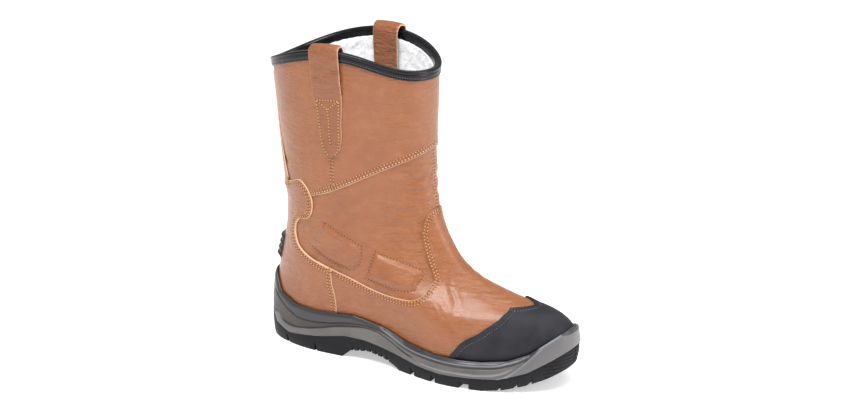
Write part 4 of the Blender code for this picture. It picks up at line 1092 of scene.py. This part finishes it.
def make_fibres(paint):
    """Short bent hairs of the pile, on the part of the lining that can be seen."""
    rng = np.random.default_rng(51)
    angle = rng.uniform(-180.0, 180.0, FIBRES)
    level = FIBRE_TOP - FIBRE_REACH * rng.uniform(0.0, 1.0, FIBRES) ** 1.6
    root = skin(angle, level, pile_off(angle, level) + 0.2)
    inward = -normals(angle, level)
    lean = unit(rng.normal(size=(FIBRES, 3)))
    length = rng.uniform(1.0, 2.4, FIBRES)[:, None]
    side = unit(np.cross(inward, lean)) * rng.uniform(0.10, 0.2, FIBRES)[:, None]
    middle = root + inward * length * 0.6 + lean * length * 0.35
    tip = root + inward * length * 0.75 + lean * length * 1.0
    up = unit(np.cross(side, middle - root)) * 0.08
    points = np.stack((root + side, root - side, root + up, middle + side * 0.8, middle - side * 0.8,
                       middle + up, tip), axis=1)
    faces = copies(FIBRES, points.shape[1], FIBRE_FORM)
    return write("fleece_pile", points.reshape(-1, 3), faces, [paint], mend=False)


# Cup sole. Its lines run along the side, as (place along the length, height).
SIDE_COLUMNS = 980
SIDE_ROWS = 60
SIDE_BULGE = np.array(((0.0, 0.0), (0.06, 0.6), (0.2, 1.0), (0.5, 1.2), (0.8, 1.15), (0.94, 0.8),
                       (1.0, 0.2)))
RIM_SECTION = ((2.5, 0.0), (2.3, 0.55), (1.8, 0.9), (1.2, 0.95), (0.7, 0.7), (0.35, 0.2), (0.3, -1.2),
               (0.3, -4.0))
LIP = 6.0
GAP = 0.3
LAYERS = np.array(((0.0, 1.0), (18.0, 1.1), (40.0, 1.7), (70.0, 1.7), (77.0, 0.4), (107.0, 0.4),
                   (113.0, 1.1), (180.0, 1.1)))
SOLE_LINES = {
    "groove_one": np.array(((0.03, 46.0), (0.068, 38.0), (0.124, 30.5), (0.243, 31.0), (0.326, 35.0),
                            (0.413, 34.0), (0.45, 31.5), (0.52, 24.3), (0.62, 20.8), (0.77, 20.6),
                            (0.84, 23.3), (0.9, 30.5))),
    "groove_two": np.array(((0.055, 26.0), (0.078, 21.0), (0.12, 19.0), (0.167, 21.0), (0.305, 31.0),
                            (0.38, 33.2), (0.42, 31.5), (0.45, 28.3), (0.52, 20.5), (0.57, 17.0))),
    "ridge_one": np.array(((0.42, 36.5), (0.45, 33.5), (0.52, 26.0), (0.62, 22.5), (0.7, 22.0), (0.77, 22.5),
                           (0.84, 25.0), (0.9, 32.0))),
    "ridge_two": np.array(((0.57, 16.2), (0.6, 15.0), (0.7, 14.0), (0.78, 14.5), (0.84, 18.0),
                           (0.88, 25.0))),
    "swoosh": np.array(((0.75, 9.0), (0.783, 11.0), (0.852, 16.0), (0.892, 26.0), (0.95, 45.0),
                        (0.985, 52.0))),
}
BUMPER_RISE = 0.7
GROOVE_DEPTH = 1.1
RIDGE_RISE = 0.75
KNURL_DEPTH = 0.35
KNURL_END, BUMPER_START = 0.43, 0.75
RUN_OUT = 0.03


def even_sole(count):
    """Angles at an even spacing round the sole's outline, and the way along it from the toe."""
    fine = np.linspace(-180.0, 180.0, 3601)
    reach = reach_along(sole_points(fine, 0.0, 0.0))
    at = np.linspace(0.0, reach[-1], count + 1)[1:]
    toe = np.interp(0.0, fine, reach)
    return np.interp(at, reach, fine), at - toe, lambda angle: np.interp(angle, fine, reach) - toe


def sole_angle(place):
    """Angle at which the sole's outline reaches a place along the length."""
    return np.degrees(np.arccos(power(2.0 * np.asarray(place) - 1.0, SOLE_SQUARE / 2.0)))


def signed_distance(points, table, arc_of):
    """Distance of points (arc, height) from a line given along the length; above it is positive."""
    result = np.empty(len(points))
    place = np.linspace(table[0, 0], table[-1, 0], 160)
    height = curved(table, place)
    for side in (1, -1):
        line = np.stack((arc_of(side * sole_angle(place)), height), axis=1)
        half = points[:, 0] * side >= 0
        near = distance_to(points[half], line)
        order = np.argsort(line[:, 0])
        above = points[half, 1] > np.interp(points[half, 0], line[order, 0], line[order, 1])
        result[half] = np.where(above, near, -near)
    return result


def band(distance, half, soft):
    """1 within a half-width of a line, falling softly to 0."""
    return smooth((half + soft - np.abs(distance)) / soft)


def make_midsole(paint):
    angle, arc, arc_of = even_sole(SIDE_COLUMNS)
    level = rim_level(angle)
    edge, out = last_points(angle, level), normals(angle, level)
    up = unit(tangents(angle, level)[1])
    layers = np.interp(np.abs(angle), LAYERS[:, 0], LAYERS[:, 1])
    rim = [edge + out * (layers + off)[:, None] + up * high for off, high in RIM_SECTION]
    bottom = sole_points(angle, 0.0, PARTING)
    bottom[:, 2] += GAP
    outward = unit((bottom - sole_points(angle, LIP, 0.0)) * np.array((1.0, 1.0, 0.0)))
    share = np.linspace(0.0, 1.0, SIDE_ROWS + 1)
    side = np.array([bottom + (rim[0] - bottom) * t + outward * proud
                     for t, proud in zip(share, curved(SIDE_BULGE, share))])
    normal = unit(np.cross(np.roll(side, -1, axis=1) - np.roll(side, 1, axis=1), np.gradient(side, axis=0)))
    normal *= np.sign((normal * outward[None]).sum(-1))[..., None]
    flat = np.stack((np.broadcast_to(arc, side.shape[:2]), side[..., 2]), axis=-1).reshape(-1, 2)
    rise, zones = side_form(flat, side[..., 0].ravel() / LENGTH, arc_of)
    rise = rise.reshape(side.shape[:2]) * (smooth(share / 0.03) * smooth((1.0 - share) / 0.02))[:, None]
    side = side + normal * rise[..., None]
    lip = sole_points(angle, LIP, BED)
    lip[:, 2] += GAP
    rings = [*side, *rim[1:], lip]
    marks = {"arc": np.tile(arc, len(rings))}
    for mark, values in zones.items():
        values = values.reshape(side.shape[:2])
        marks[mark] = np.vstack((values, np.repeat(values[-1:], len(rings) - len(side), axis=0))).ravel()
    return torus("midsole_skin", rings, paint, ["midsole"], marks, 70.0)


def run_out(place, first, final):
    """1 along a line, fading softly to 0 at both its ends."""
    return smooth((place - first) / RUN_OUT) * smooth((final - place) / RUN_OUT)


def side_form(flat, place, arc_of):
    """Relief of the cup sole's plain side, and its colour bands.

    The bands are the knurl (1) and bumper (2), the top band, a painted highlight along the ridges and
    painted shade in the grooves.
    """
    far = {name: signed_distance(flat, table, arc_of) for name, table in SOLE_LINES.items()}
    one, two, swoosh = far["groove_one"], far["groove_two"], far["swoosh"]
    rear = smooth((KNURL_END - place) / 0.03)
    bumper = smooth(-swoosh / 0.9) * (place > BUMPER_START)
    fade = run_out(place, 0.06, 0.57)
    ridges = [(far[name], run_out(place, *SOLE_LINES[name][[0, -1], 0]))
              for name in ("ridge_one", "ridge_two")]
    rise = -GROOVE_DEPTH * np.maximum(band(one, 0.3, 0.7) * (0.5 + 0.5 * rear), band(two, 0.3, 0.7) * fade)
    rise -= KNURL_DEPTH * smooth(-one / 0.8) * smooth(two / 0.8) * rear
    rise += RIDGE_RISE * sum(band(ridge, 0.8, 0.9) * ends for ridge, ends in ridges)
    rise += BUMPER_RISE * bumper + 0.5 * band(swoosh, 0.6, 0.7) * (place > BUMPER_START)
    knurl = smooth((-one - 0.6) / 0.5) * smooth((two - 0.6) / 0.5) * smooth((0.41 - place) / 0.02)
    # Painted highlight: a pale line on the upper side of each ridge and along the swoosh.
    pale = [band(ridge - 0.35, 0.25, 0.5) * ends for ridge, ends in ridges]
    pale.append(band(swoosh, 0.3, 0.6) * (place > 0.76))
    # Painted shade in the two grooves.
    groove_shade_mask = np.maximum(band(one, 0.45, 0.5) * (0.5 + 0.5 * smooth((0.46 - place) / 0.03)),
                         band(two, 0.45, 0.5) * fade)
    return rise, {"band": knurl + 2.0 * bumper * (1.0 - knurl), "top": smooth(one / 0.8) * (1.0 - bumper),
                  "ridge": np.max(pale, axis=0), "groove_shade": groove_shade_mask * (1.0 - bumper)}


# Outsole: cuts across it and along it, the teeth under the arch, and its side rows.
CROSS_CUTS = [(31.0, 2.4, 5.0), (64.5, 2.4, 5.0), (170.0, 4.5, 4.5), (193.0, 4.5, 4.5), (223.5, 9.0, 4.5),
              (254.5, 2.6, 4.5), (268.0, 3.0, 4.0), (279.0, 3.0, 3.0)]
TEETH = [(x, 2.0, 2.0) for x in np.arange(104.0, 146.0, 6.2)]
LONG_CUTS = ((14.0, 83.0, 0.0, 26.0, 3.5), (161.0, 262.0, -19.0, 4.0, 4.0), (161.0, 262.0, 17.0, 4.0, 4.0))
CUT_SLOPE = 0.05
FLOOR_SETBACK = 1.6
SOLE_COLUMNS = 300
WALL_ROWS = 26
FULL_HALF = 34.0


def cut_depth(x, cuts):
    depth = np.zeros(len(x))
    for centre, width, deep in cuts:
        depth = np.maximum(depth, deep * (np.abs(x - centre) < width / 2))
    return depth


def make_outsole(paint):
    cuts = CROSS_CUTS + TEETH
    inner = LENGTH - 2 * FLOOR_SETBACK
    even = np.radians([angle for angle in even_sole(2 * SOLE_COLUMNS)[0] if angle > 0])
    places = FLOOR_SETBACK + inner * 0.5 * (1 + power(np.cos(even), 2 / SOLE_SQUARE))
    ends = [centre + half * width / 2 for centre, width, _ in cuts for half in (-1, 1)]
    ends += [end for cut in LONG_CUTS for end in cut[:2]]
    edges = [end + small for end in ends for small in (-CUT_SLOPE, CUT_SLOPE)]
    places = places[np.abs(places[:, None] - np.array(edges)).min(axis=1) > 0.25]
    x = np.unique(np.concatenate((places, edges, [FLOOR_SETBACK + 0.001, LENGTH - FLOOR_SETBACK - 0.001])))
    angle = sole_angle((x - FLOOR_SETBACK) / inner)
    floor = straight(FLOOR, x) + cut_depth(x, cuts)
    offsets = sorted({y + side * width / 2 + small for _, _, y, width, _ in LONG_CUTS for side in (-1, 1)
                      for small in (-CUT_SLOPE, CUT_SLOPE)})
    left, right = (sole_points(side * angle, FLOOR_SETBACK, 0.0) for side in (1, -1))
    scale = np.minimum(1.0, 0.5 * (right[:, 1] - left[:, 1]) / FULL_HALF)
    centre = 0.5 * (right[:, 1] + left[:, 1])
    bottom = [np.stack((x, left[:, 1], floor), axis=1)]
    for offset in offsets:
        z = floor.copy()
        for start, end, middle, width, depth in LONG_CUTS:
            held = (np.abs(offset - middle) < width / 2) & (x > start) & (x < end)
            z = np.where(held, np.maximum(z, depth), z)
        bottom.append(np.stack((x, centre * (1 - scale) + offset * scale, z), axis=1))
    bottom.append(np.stack((x, right[:, 1], floor), axis=1))
    walls = [sole_wall(side, angle, np.column_stack((low[:, :2], floor)))
             for side, low in ((1, left), (-1, right))]
    strips = [*walls[0][::-1], *bottom, *walls[1]]
    size = len(x)
    last = (len(strips) - 1) * size
    faces = [tuple(face) for face in grid_faces(len(strips), size, False)]
    faces += [(i, i + 1, last + i + 1, last + i) for i in range(size - 1)]
    piece = write("outsole_skin", np.vstack(strips), faces, [paint], ["outsole"], sharp=35.0,
                  mend=False)
    weld(piece)
    return piece


def sole_wall(side, angle, foot):
    """Rows of points up one side of the outsole, with its ribs at the toe, to its inner lip."""
    high = sole_points(side * angle, 0.0, PARTING)
    out = unit((high - sole_points(side * angle, LIP, 0.0)) * np.array((1.0, 1.0, 0.0)))
    toe = smooth((foot[:, 0] / LENGTH - 0.935) / 0.02)
    rows = []
    for t in np.linspace(0.0, 1.0, WALL_ROWS)[1:]:
        lean = 1.0 - (1.0 - t) ** 2.2
        point = foot + (high - foot) * np.array((lean, lean, t))
        rib = 0.5 * np.cos(2 * math.pi * point[:, 2] / 3.5) * toe * smooth(t / 0.1) * smooth((1 - t) / 0.1)
        rows.append(point + out * (rib + 0.25 * math.sin(math.pi * t))[:, None])
    return rows + [sole_points(side * angle, LIP, BED)]


def weld(piece, distance=0.00002, sharp=35.0):
    """Joins points that lie together, and closes the holes that are left at the tips."""
    shape = bmesh.new()
    shape.from_mesh(piece.data)
    bmesh.ops.remove_doubles(shape, verts=shape.verts, dist=distance)
    bmesh.ops.dissolve_degenerate(shape, edges=shape.edges, dist=distance)
    open_edges = [edge for edge in shape.edges if len(edge.link_faces) == 1]
    bmesh.ops.holes_fill(shape, edges=open_edges, sides=0)
    bmesh.ops.recalc_face_normals(shape, faces=shape.faces)
    shape.to_mesh(piece.data)
    shape.free()
    piece.data.shade_smooth()
    piece.data.set_sharp_from_angle(angle=math.radians(sharp))


# Kick-off stub on the counter.
SPUR_HALF = 21.0
SPUR_LEVELS = (4.75, 6.75)
SPUR_RIBS = 4
SPUR_BASE = COUNTER_SKIN - 0.4
SPUR_PROUD = (2.4, 4.6)


def make_spur(paint):
    shares = np.linspace(-1.0, 1.0, 45)
    at = np.linspace(0.0, 1.0, SPUR_RIBS * 16 + 1)
    levels = SPUR_LEVELS[0] + (SPUR_LEVELS[1] - SPUR_LEVELS[0]) * at
    angle, level = (grid.ravel() for grid in np.meshgrid(180.0 + shares * SPUR_HALF, levels))
    rib = (0.5 - 0.5 * np.cos(2 * math.pi * SPUR_RIBS * at)) ** 0.7
    soft = np.minimum(1.0, 8.0 * np.minimum(at, 1.0 - at)) ** 0.5
    proud = (SPUR_PROUD[0] + (SPUR_PROUD[1] - SPUR_PROUD[0]) * rib) * soft
    ends = np.maximum(1.0 - np.abs(shares) ** 2.6, 0.0) ** 0.5
    over = skin(angle, level, SPUR_BASE + 1.2 + np.outer(proud - 0.8, ends).ravel())
    under = skin(angle, level, SPUR_BASE)
    points, faces, _ = shell(over, under, grid_faces(len(at), len(shares), False))
    return write("heel_spur_skin", points, faces, [paint], ["heel_spur"], sharp=60.0)


# Footbed, with a crowned edge under its napped cover.
FOOTBED_SETBACK = -4.6
FOOTBED_SECTION = ((0.0, 0.0), (0.15, 1.6), (0.0, 3.1), (-0.6, 3.8), (-1.8, 4.15))
FOOTBED_SPINE = (30.0, 268.0)
FOOTBED_COLUMNS = 240
HEEL_CUP = 1.6


def bed_height(x):
    return curved(FEATHER, x / LENGTH) + GAP


def make_footbed(paint):
    angle = all_round(FOOTBED_COLUMNS)
    edge = skin(angle, 0.0, FOOTBED_SETBACK)
    out = unit(normals(angle, 0.0) * np.array((1.0, 1.0, 0.0)))
    rings = []
    for off, high in FOOTBED_SECTION:
        ring = edge + out * off
        ring[:, 2] = bed_height(ring[:, 0]) + high
        rings.append(ring)
    middle = np.clip(edge[:, 0], *FOOTBED_SPINE)
    spine = np.stack((middle, swing(middle), np.zeros(len(edge))), axis=1)
    top = rings[-1]
    for share in (0.15, 0.35, 0.6, 0.85, 1.0):
        ring = top * (1 - share) + spine * share
        cup = HEEL_CUP * smooth((90.0 - ring[:, 0]) / 60.0) * share
        ring[:, 2] = bed_height(ring[:, 0]) + FOOTBED_SECTION[-1][1] - cup + 0.25 * waves(ring, 9.0, 61)
        rings.append(ring)
    base = rings[0] * 0.02 + spine * 0.98
    base[:, 2] = bed_height(base[:, 0])
    faces = grid_faces(len(rings) + 1, len(angle), True)
    piece = write("footbed_cover", np.vstack([base, *rings]), faces, [paint], ["insole"],
                  sharp=60.0)
    weld(piece, 0.00001, 60.0)
    return piece


class Paint:
    """A material, with short ways to add nodes to it. Its textures are measured in millimetres."""

    def __init__(self, name, roughness=0.5, **sockets):
        self.material = bpy.data.materials.new(name)
        self.material.use_nodes = True
        self.tree = self.material.node_tree
        self.shader = self.tree.nodes["Principled BSDF"]
        self.shader.inputs["Roughness"].default_value = roughness
        for socket, value in sockets.items():
            self.shader.inputs[socket.replace("_", " ")].default_value = value
        self.place = self.add("VectorMath", "Vector", operation="SCALE",
                              inputs={0: self.add("TexCoord", "Object"), "Scale": 1.0 / MM})

    def add(self, kind, output=0, inputs=(), **settings):
        """A new node's output. Inputs are numbers, colours or other nodes' outputs."""
        made = self.tree.nodes.new("ShaderNode" + kind)
        for setting, value in settings.items():
            setattr(made, setting, value)
        for socket, value in dict(inputs).items():
            self.put(made.inputs[socket], value)
        return made.outputs[output]

    def put(self, socket, value):
        if isinstance(value, bpy.types.NodeSocket):
            self.tree.links.new(value, socket)
        elif socket.type == "RGBA" and len(value) == 3:
            socket.default_value = (*value, 1.0)
        else:
            socket.default_value = value

    def mark(self, name):
        return self.add("Attribute", "Fac", attribute_name=name)

    def stretched(self, x, y, z):
        return self.add("VectorMath", "Vector", operation="MULTIPLY", inputs={0: self.place, 1: (x, y, z)})

    def noise(self, size, detail=3.0, place=None, rough=0.5):
        """Noise from 0 to 1, with features of a size in millimetres."""
        return self.add("TexNoise", "Fac", {"Vector": place or self.place, "Scale": 1.0 / size,
                                            "Detail": detail, "Roughness": rough})

    def cells(self, size, feature="F1", place=None):
        return self.add("TexVoronoi", "Distance", {"Vector": place or self.place, "Scale": 1.0 / size},
                        feature=feature)

    def times(self, a, b):
        return self.add("Math", 0, {0: a, 1: b}, operation="MULTIPLY")

    def span(self, value, low, high, first=0.0, final=1.0):
        """A value taken smoothly from one range to another."""
        return self.add("MapRange", "Result", {"Value": value, "From Min": low, "From Max": high,
                                               "To Min": first, "To Max": final},
                        interpolation_type="SMOOTHSTEP")

    def blend(self, share, first, final):
        made = self.tree.nodes.new("ShaderNodeMix")
        made.data_type = "RGBA"
        self.put(made.inputs[0], share)
        self.put(made.inputs[6], first)
        self.put(made.inputs[7], final)
        return made.outputs[2]

    def coats(self, tone, *layers):
        """A colour with (share, colour) layers laid over it."""
        for share, colour in layers:
            tone = self.blend(share, tone, colour)
        return tone

    def bump(self, *layers):
        """Bump from (height, depth in millimetres) layers, one on the other."""
        normal = None
        for height, depth in layers:
            inputs = {"Height": height, "Distance": depth * MM, "Strength": 1.0}
            if normal is not None:
                inputs["Normal"] = normal
            normal = self.add("Bump", "Normal", inputs)
        return normal

    def finish(self, colour, roughness=None, normal=None):
        for socket, value in (("Base Color", colour), ("Roughness", roughness), ("Normal", normal)):
            if value is not None:
                self.put(self.shader.inputs[socket], value)
        return self.material


LEATHER_COLOUR = (0.315, 0.097, 0.022)
LEATHER_DARK = (0.22, 0.060, 0.012)
LEATHER_PALE = (0.44, 0.19, 0.078)
LEATHER_EDGE_AND_HIGHLIGHT = (0.82, 0.52, 0.31)


def leather_paint(name, colour=LEATHER_COLOUR, wrinkle=1.0):
    """Grained, lightly waxed leather: darker along its sewn rows as painted shade, and paler at its cut
    edges: the raw edge's own colour, which on the vamp is kept to the lit part of its edge as a painted
    highlight.
    """
    paint = Paint(name, 0.4, Coat_Weight=0.45, Coat_Roughness=0.26, Specular_IOR_Level=0.5)
    pores = paint.cells(1.15, "DISTANCE_TO_EDGE")
    tone = paint.coats(colour, (paint.span(paint.noise(38.0, 4.0), 0.35, 0.7, 0.0, 0.4), LEATHER_DARK),
                       (paint.span(paint.noise(9.0, 3.0), 0.45, 0.75, 0.0, 0.2), LEATHER_PALE),
                       (paint.span(pores, 0.0, 0.09, 0.3, 0.0), LEATHER_DARK),
                       # Paler cut edges: raw edge colour, and on the vamp a painted highlight along the lit
                       # part of its edge.
                       (paint.span(paint.mark("edge"), 0.15, 1.0, 0.75, 0.0), LEATHER_EDGE_AND_HIGHLIGHT),
                       # Painted shade: darker along the sewn rows, whose grooves would be shaded.
                       (paint.span(paint.mark("seam"), 0.3, 1.5, 0.6, 0.0), LEATHER_DARK))
    fine = paint.noise(3.4, 5.0, paint.stretched(1.0, 0.8, 2.0), 0.6)
    lines = paint.cells(6.5, "DISTANCE_TO_EDGE", paint.stretched(0.6, 0.8, 1.8))
    folds = paint.noise(9.0, 3.0, paint.stretched(0.45, 0.45, 1.6), 0.55)
    normal = paint.bump((folds, 2.2 * wrinkle), (fine, 0.85 * wrinkle),
                        (paint.span(lines, 0.0, 0.14), 0.2 * wrinkle),
                        (paint.span(pores, 0.0, 0.16), 0.07))
    rough = paint.span(paint.noise(6.0, 4.0), 0.3, 0.75, 0.34, 0.46)
    return paint.finish(tone, rough, normal)


def raw_leather_paint():
    paint = Paint("raw_leather", 0.85)
    fibre = paint.noise(0.7, 4.0)
    tone = paint.blend(paint.span(fibre, 0.3, 0.7), (0.70, 0.42, 0.25), (0.88, 0.62, 0.44))
    return paint.finish(tone, None, paint.bump((fibre, 0.15)))


def thread_paint(name, colour, dark):
    """Twisted thread."""
    paint = Paint(name, 0.55, Sheen_Weight=0.2, Sheen_Roughness=0.5)
    twist = paint.add("TexWave", "Fac", {"Vector": paint.place, "Scale": 0.9, "Distortion": 1.0},
                      bands_direction="DIAGONAL")
    tone = paint.blend(paint.span(twist, 0.2, 0.8), dark, colour)
    return paint.finish(tone, None, paint.bump((twist, 0.08)))


# Painted shade: the dark inside of a needle hole.
def hole_shade_paint():
    paint = Paint("needle_hole_shade", 0.9)
    return paint.finish(paint.blend(paint.noise(2.0), (0.04, 0.014, 0.006), (0.08, 0.026, 0.010)))


def binding_paint():
    """Glossy black coated binding."""
    paint = Paint("gloss_binding", 0.24, Coat_Weight=0.05, Coat_Roughness=0.1, Specular_IOR_Level=0.25)
    grain = paint.cells(1.1, "DISTANCE_TO_EDGE")
    soft = paint.noise(9.0, 2.0)
    tone = paint.blend(soft, (0.003, 0.003, 0.004), (0.007, 0.007, 0.010))
    rough = paint.span(soft, 0.3, 0.7, 0.18, 0.28)
    return paint.finish(tone, rough, paint.bump((soft, 0.2), (grain, 0.015)))


def cap_paint():
    """Charcoal scuff cap, with a fine pebble."""
    paint = Paint("scuff_cap", 0.6, Specular_IOR_Level=0.28)
    pebble = paint.cells(0.8)
    cloud = paint.noise(16.0, 4.0)
    tone = paint.blend(paint.span(cloud, 0.3, 0.7), (0.012, 0.012, 0.017), (0.022, 0.022, 0.028))
    return paint.finish(tone, paint.span(cloud, 0.3, 0.7, 0.5, 0.66), paint.bump((pebble, 0.12)))


def foam_paint():
    """Moulded cup sole: satin, with a knurled band round the heel and a plainer toe bumper."""
    paint = Paint("cup_foam", 0.4, Specular_IOR_Level=0.5)
    band_mark = paint.mark("band")
    knurl = paint.times(paint.span(band_mark, 0.5, 1.0), paint.span(band_mark, 1.0, 1.3, 1.0, 0.0))
    teeth = paint.add("TexWave", "Fac", {"Vector": paint.add("CombineXYZ", 0, {"X": paint.mark("arc")}),
                                         "Scale": 0.32 / 1.1}, bands_direction="X")
    ribs = paint.times(knurl, teeth)
    cloud, speck = paint.noise(22.0, 4.0), paint.noise(1.4, 3.0)
    tone = paint.blend(paint.span(cloud, 0.3, 0.7), (0.090, 0.083, 0.080), (0.118, 0.110, 0.106))
    tone = paint.coats(tone, (paint.mark("top"), (0.036, 0.036, 0.040)),
                       (paint.span(knurl, 0.0, 1.0, 0.0, 0.8), (0.066, 0.053, 0.046)),
                       (ribs, (0.036, 0.030, 0.027)),
                       (paint.span(band_mark, 1.2, 1.9), (0.120, 0.114, 0.116)),
                       # Painted highlight on the ridges and the swoosh.
                       (paint.times(paint.mark("ridge"), 0.7), (0.24, 0.25, 0.28)),
                       # Painted shade in the grooves.
                       (paint.times(paint.mark("groove_shade"), 0.85), (0.014, 0.013, 0.013)))
    return paint.finish(tone, paint.span(cloud, 0.3, 0.7, 0.3, 0.42), paint.bump((ribs, 0.5), (speck, 0.05)))


def rubber_paint(name, first, final, roughness):
    paint = Paint(name, roughness, Specular_IOR_Level=0.2)
    cloud, speck = paint.noise(14.0, 4.0), paint.noise(0.9, 3.0)
    return paint.finish(paint.blend(cloud, first, final), None, paint.bump((speck, 0.08)))


def fleece_paint(name):
    """White pile, with painted bluish shade in its depths, where its tufts are low."""
    paint = Paint(name, 0.95, Sheen_Weight=1.0, Sheen_Roughness=0.6)
    tuft, curl = paint.noise(2.2, 5.0, None, 0.65), paint.noise(0.7, 4.0)
    # Painted shade: darker, bluer colour where the tufts are low.
    tone = paint.blend(paint.span(tuft, 0.3, 0.62), (0.88, 0.90, 0.93), (0.97, 0.97, 0.975))
    return paint.finish(tone, None, paint.bump((tuft, 0.6), (curl, 0.2)))


def make_sewing(leg, ankle, vamp, counter, strip, cap, straps, hole):
    """Every row of sewing, in one piece for each colour of thread."""
    orange, cream, brown, black = (Thread() for _ in range(4))
    leg_panel, leg_doubles, leg_seams = leg
    for row, thread in zip(leg_doubles, (cream, orange)):
        thread.sew_panel(leg_panel, part_of(row, 1.0, 138.0))
    for row in leg_seams:
        orange.sew_panel(leg_panel, row)
    ankle_panel, pads, front = ankle
    orange.sew_panel(ankle_panel, front)
    for row in pads:
        brown.sew_panel(ankle_panel, row)
    for row in vamp[1]:
        orange.sew_panel(vamp[0], part_of(row, 1.0, 104.0))
    for row in counter[1]:
        orange.sew_panel(counter[0], above_rim(part_of(row, 0.0, 179.0)))
    orange.sew_panel(*strip)
    black.sew_panel(cap[0], above_rim(cap[1]), pitch=2.6, length=1.9, thick=0.26, hole=0.0)
    black.sew(*binding_line(), pitch=2.4, length=1.7, thick=0.22, hole=0.0)
    for strap in straps:
        strap.sew(orange)
    for thread, name, colour, dark, slot in (
            (orange, "orange", (0.80, 0.43, 0.13), (0.52, 0.23, 0.06), "leather"),
            (cream, "cream", (0.90, 0.66, 0.40), (0.62, 0.38, 0.18), "leather"),
            (brown, "brown", (0.55, 0.25, 0.07), (0.26, 0.10, 0.03), "leather"),
            (black, "black", (0.20, 0.20, 0.21), (0.08, 0.08, 0.085), "binding")):
        thread.finish("thread_" + name, thread_paint(name + "_thread", colour, dark), hole, slot)


# The photograph's view of the boot: angles in degrees, millimetres, and pixels of its frame.
FRAME_WIDTH, FRAME_HEIGHT = 854, 410
VIEW_AZIMUTH, VIEW_ELEVATION, VIEW_ROLL = 26.012, 17.771, 1.673
VIEW_DISTANCE = 1654.49
VIEW_SCALE = 1.092
VIEW_TARGET = (153.0, 0.0, 140.0)
VIEW_CENTRE = (422.805, 213.053)
SENSOR = 36.0


def make_camera():
    azimuth, elevation, roll = (math.radians(a) for a in (VIEW_AZIMUTH, VIEW_ELEVATION, VIEW_ROLL))
    back = Vector((math.sin(azimuth) * math.cos(elevation), -math.cos(azimuth) * math.cos(elevation),
                   math.sin(elevation)))
    level = Vector((math.cos(azimuth), math.sin(azimuth), 0.0))
    above = back.cross(level)
    right = level * math.cos(roll) + above * math.sin(roll)
    up = above * math.cos(roll) - level * math.sin(roll)
    eye = Vector(to_world(VIEW_TARGET)) + back * VIEW_DISTANCE * MM
    data = bpy.data.cameras.new("camera")
    data.sensor_width = SENSOR
    data.lens = VIEW_DISTANCE * VIEW_SCALE * SENSOR / FRAME_WIDTH
    data.shift_x = (FRAME_WIDTH / 2 - VIEW_CENTRE[0]) / FRAME_WIDTH
    data.shift_y = (VIEW_CENTRE[1] - FRAME_HEIGHT / 2) / FRAME_WIDTH
    camera = bpy.data.objects.new("camera", data)
    turn = Matrix((right, up, back)).transposed().to_4x4()
    camera.matrix_world = Matrix.Translation(eye) @ turn
    bpy.context.collection.objects.link(camera)
    bpy.context.scene.camera = camera


def make_light(name, place, size, watts):
    """A soft square light that faces the boot's middle."""
    data = bpy.data.lights.new(name, "AREA")
    data.shape = "RECTANGLE"
    data.size, data.size_y = size
    data.energy = watts
    light = bpy.data.objects.new(name, data)
    light.location = place
    light.rotation_euler = (Vector(place) - Vector(LIT_PLACE)).to_track_quat("Z", "Y").to_euler()
    bpy.context.collection.objects.link(light)


WORLD_STRENGTH = 0.4
# Soft boxes round the boot, in metres and watts: place, size and power, and what they face.
LIT_PLACE = (0.0, 0.0, 0.13)
LIGHTS = {
    "overhead": ((0.55, 0.5, 1.6), (1.1, 1.1), 10.0),
    "above": ((0.0, -0.7, 1.7), (0.85, 0.65), 30.0),
    "right": ((1.5, 0.35, 0.65), (0.5, 1.3), 10.0),
    "left": ((-1.4, 0.1, 0.55), (0.3, 1.2), 0.5),
    "front": ((0.7, -2.0, 0.9), (1.2, 0.8), 4.0),
}


def make_stage():
    floor = Paint("floor", 0.7, Emission_Color=(1.0, 1.0, 1.0, 1.0), Emission_Strength=0.45)
    floor.finish(floor.blend(floor.noise(300.0), (0.90, 0.90, 0.90), (0.915, 0.915, 0.915)))
    mesh = bpy.data.meshes.new("floor")
    ground = bmesh.new()
    bmesh.ops.create_circle(ground, cap_ends=True, segments=96, radius=9.0)
    ground.to_mesh(mesh)
    ground.free()
    mesh.materials.append(floor.material)
    stage = bpy.data.objects.new("floor", mesh)
    stage.location.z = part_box("outsole")[0].z - 0.0002
    bpy.context.collection.objects.link(stage)
    world = bpy.data.worlds.new("studio")
    world.use_nodes = True
    world.node_tree.nodes["Background"].inputs["Color"].default_value = (1.0, 1.0, 1.0, 1.0)
    world.node_tree.nodes["Background"].inputs["Strength"].default_value = WORLD_STRENGTH
    bpy.context.scene.world = world
    bpy.context.scene.view_settings.view_transform = "Standard"
    for name, (place, size, watts) in LIGHTS.items():
        make_light(name, place, size, watts)


def main():
    leather, raw, hole, scuff = leather_paint("leather"), raw_leather_paint(), hole_shade_paint(), cap_paint()
    leg, ankle, vamp = make_leg(), make_ankle(), make_vamp()
    counter, strip, cap = make_counter(), make_strip(), make_cap()
    for part, node in ((leg, "upper"), (ankle, "upper"), (vamp, "upper"), (counter, "counter"),
                       (strip, "back_strip")):
        part[0].build([leather, raw], "leather", node)
    cap[0].build([scuff, scuff], "scuff_rubber", "toe_cap")
    make_binding(binding_paint())
    strap_leather = leather_paint("strap_leather", (0.38, 0.128, 0.036), 1.5)
    straps = [Strap(side) for side in (1, -1)]
    for strap, name in zip(straps, ("lateral", "medial")):
        strap.build("pull_strap_" + name, "pull_loop_" + name, [strap_leather, raw])
    fleece = fleece_paint("fleece")
    make_lining(fleece)
    make_fibres(fleece)
    make_midsole(foam_paint())
    make_outsole(rubber_paint("tread_rubber", (0.005, 0.005, 0.007), (0.011, 0.011, 0.013), 0.55))
    make_spur(rubber_paint("spur_rubber", (0.018, 0.019, 0.022), (0.04, 0.042, 0.046), 0.35))
    make_footbed(fleece)
    make_sewing(leg, ankle, vamp, counter, strip, cap, straps, hole)
    make_camera()
    make_stage()


main()
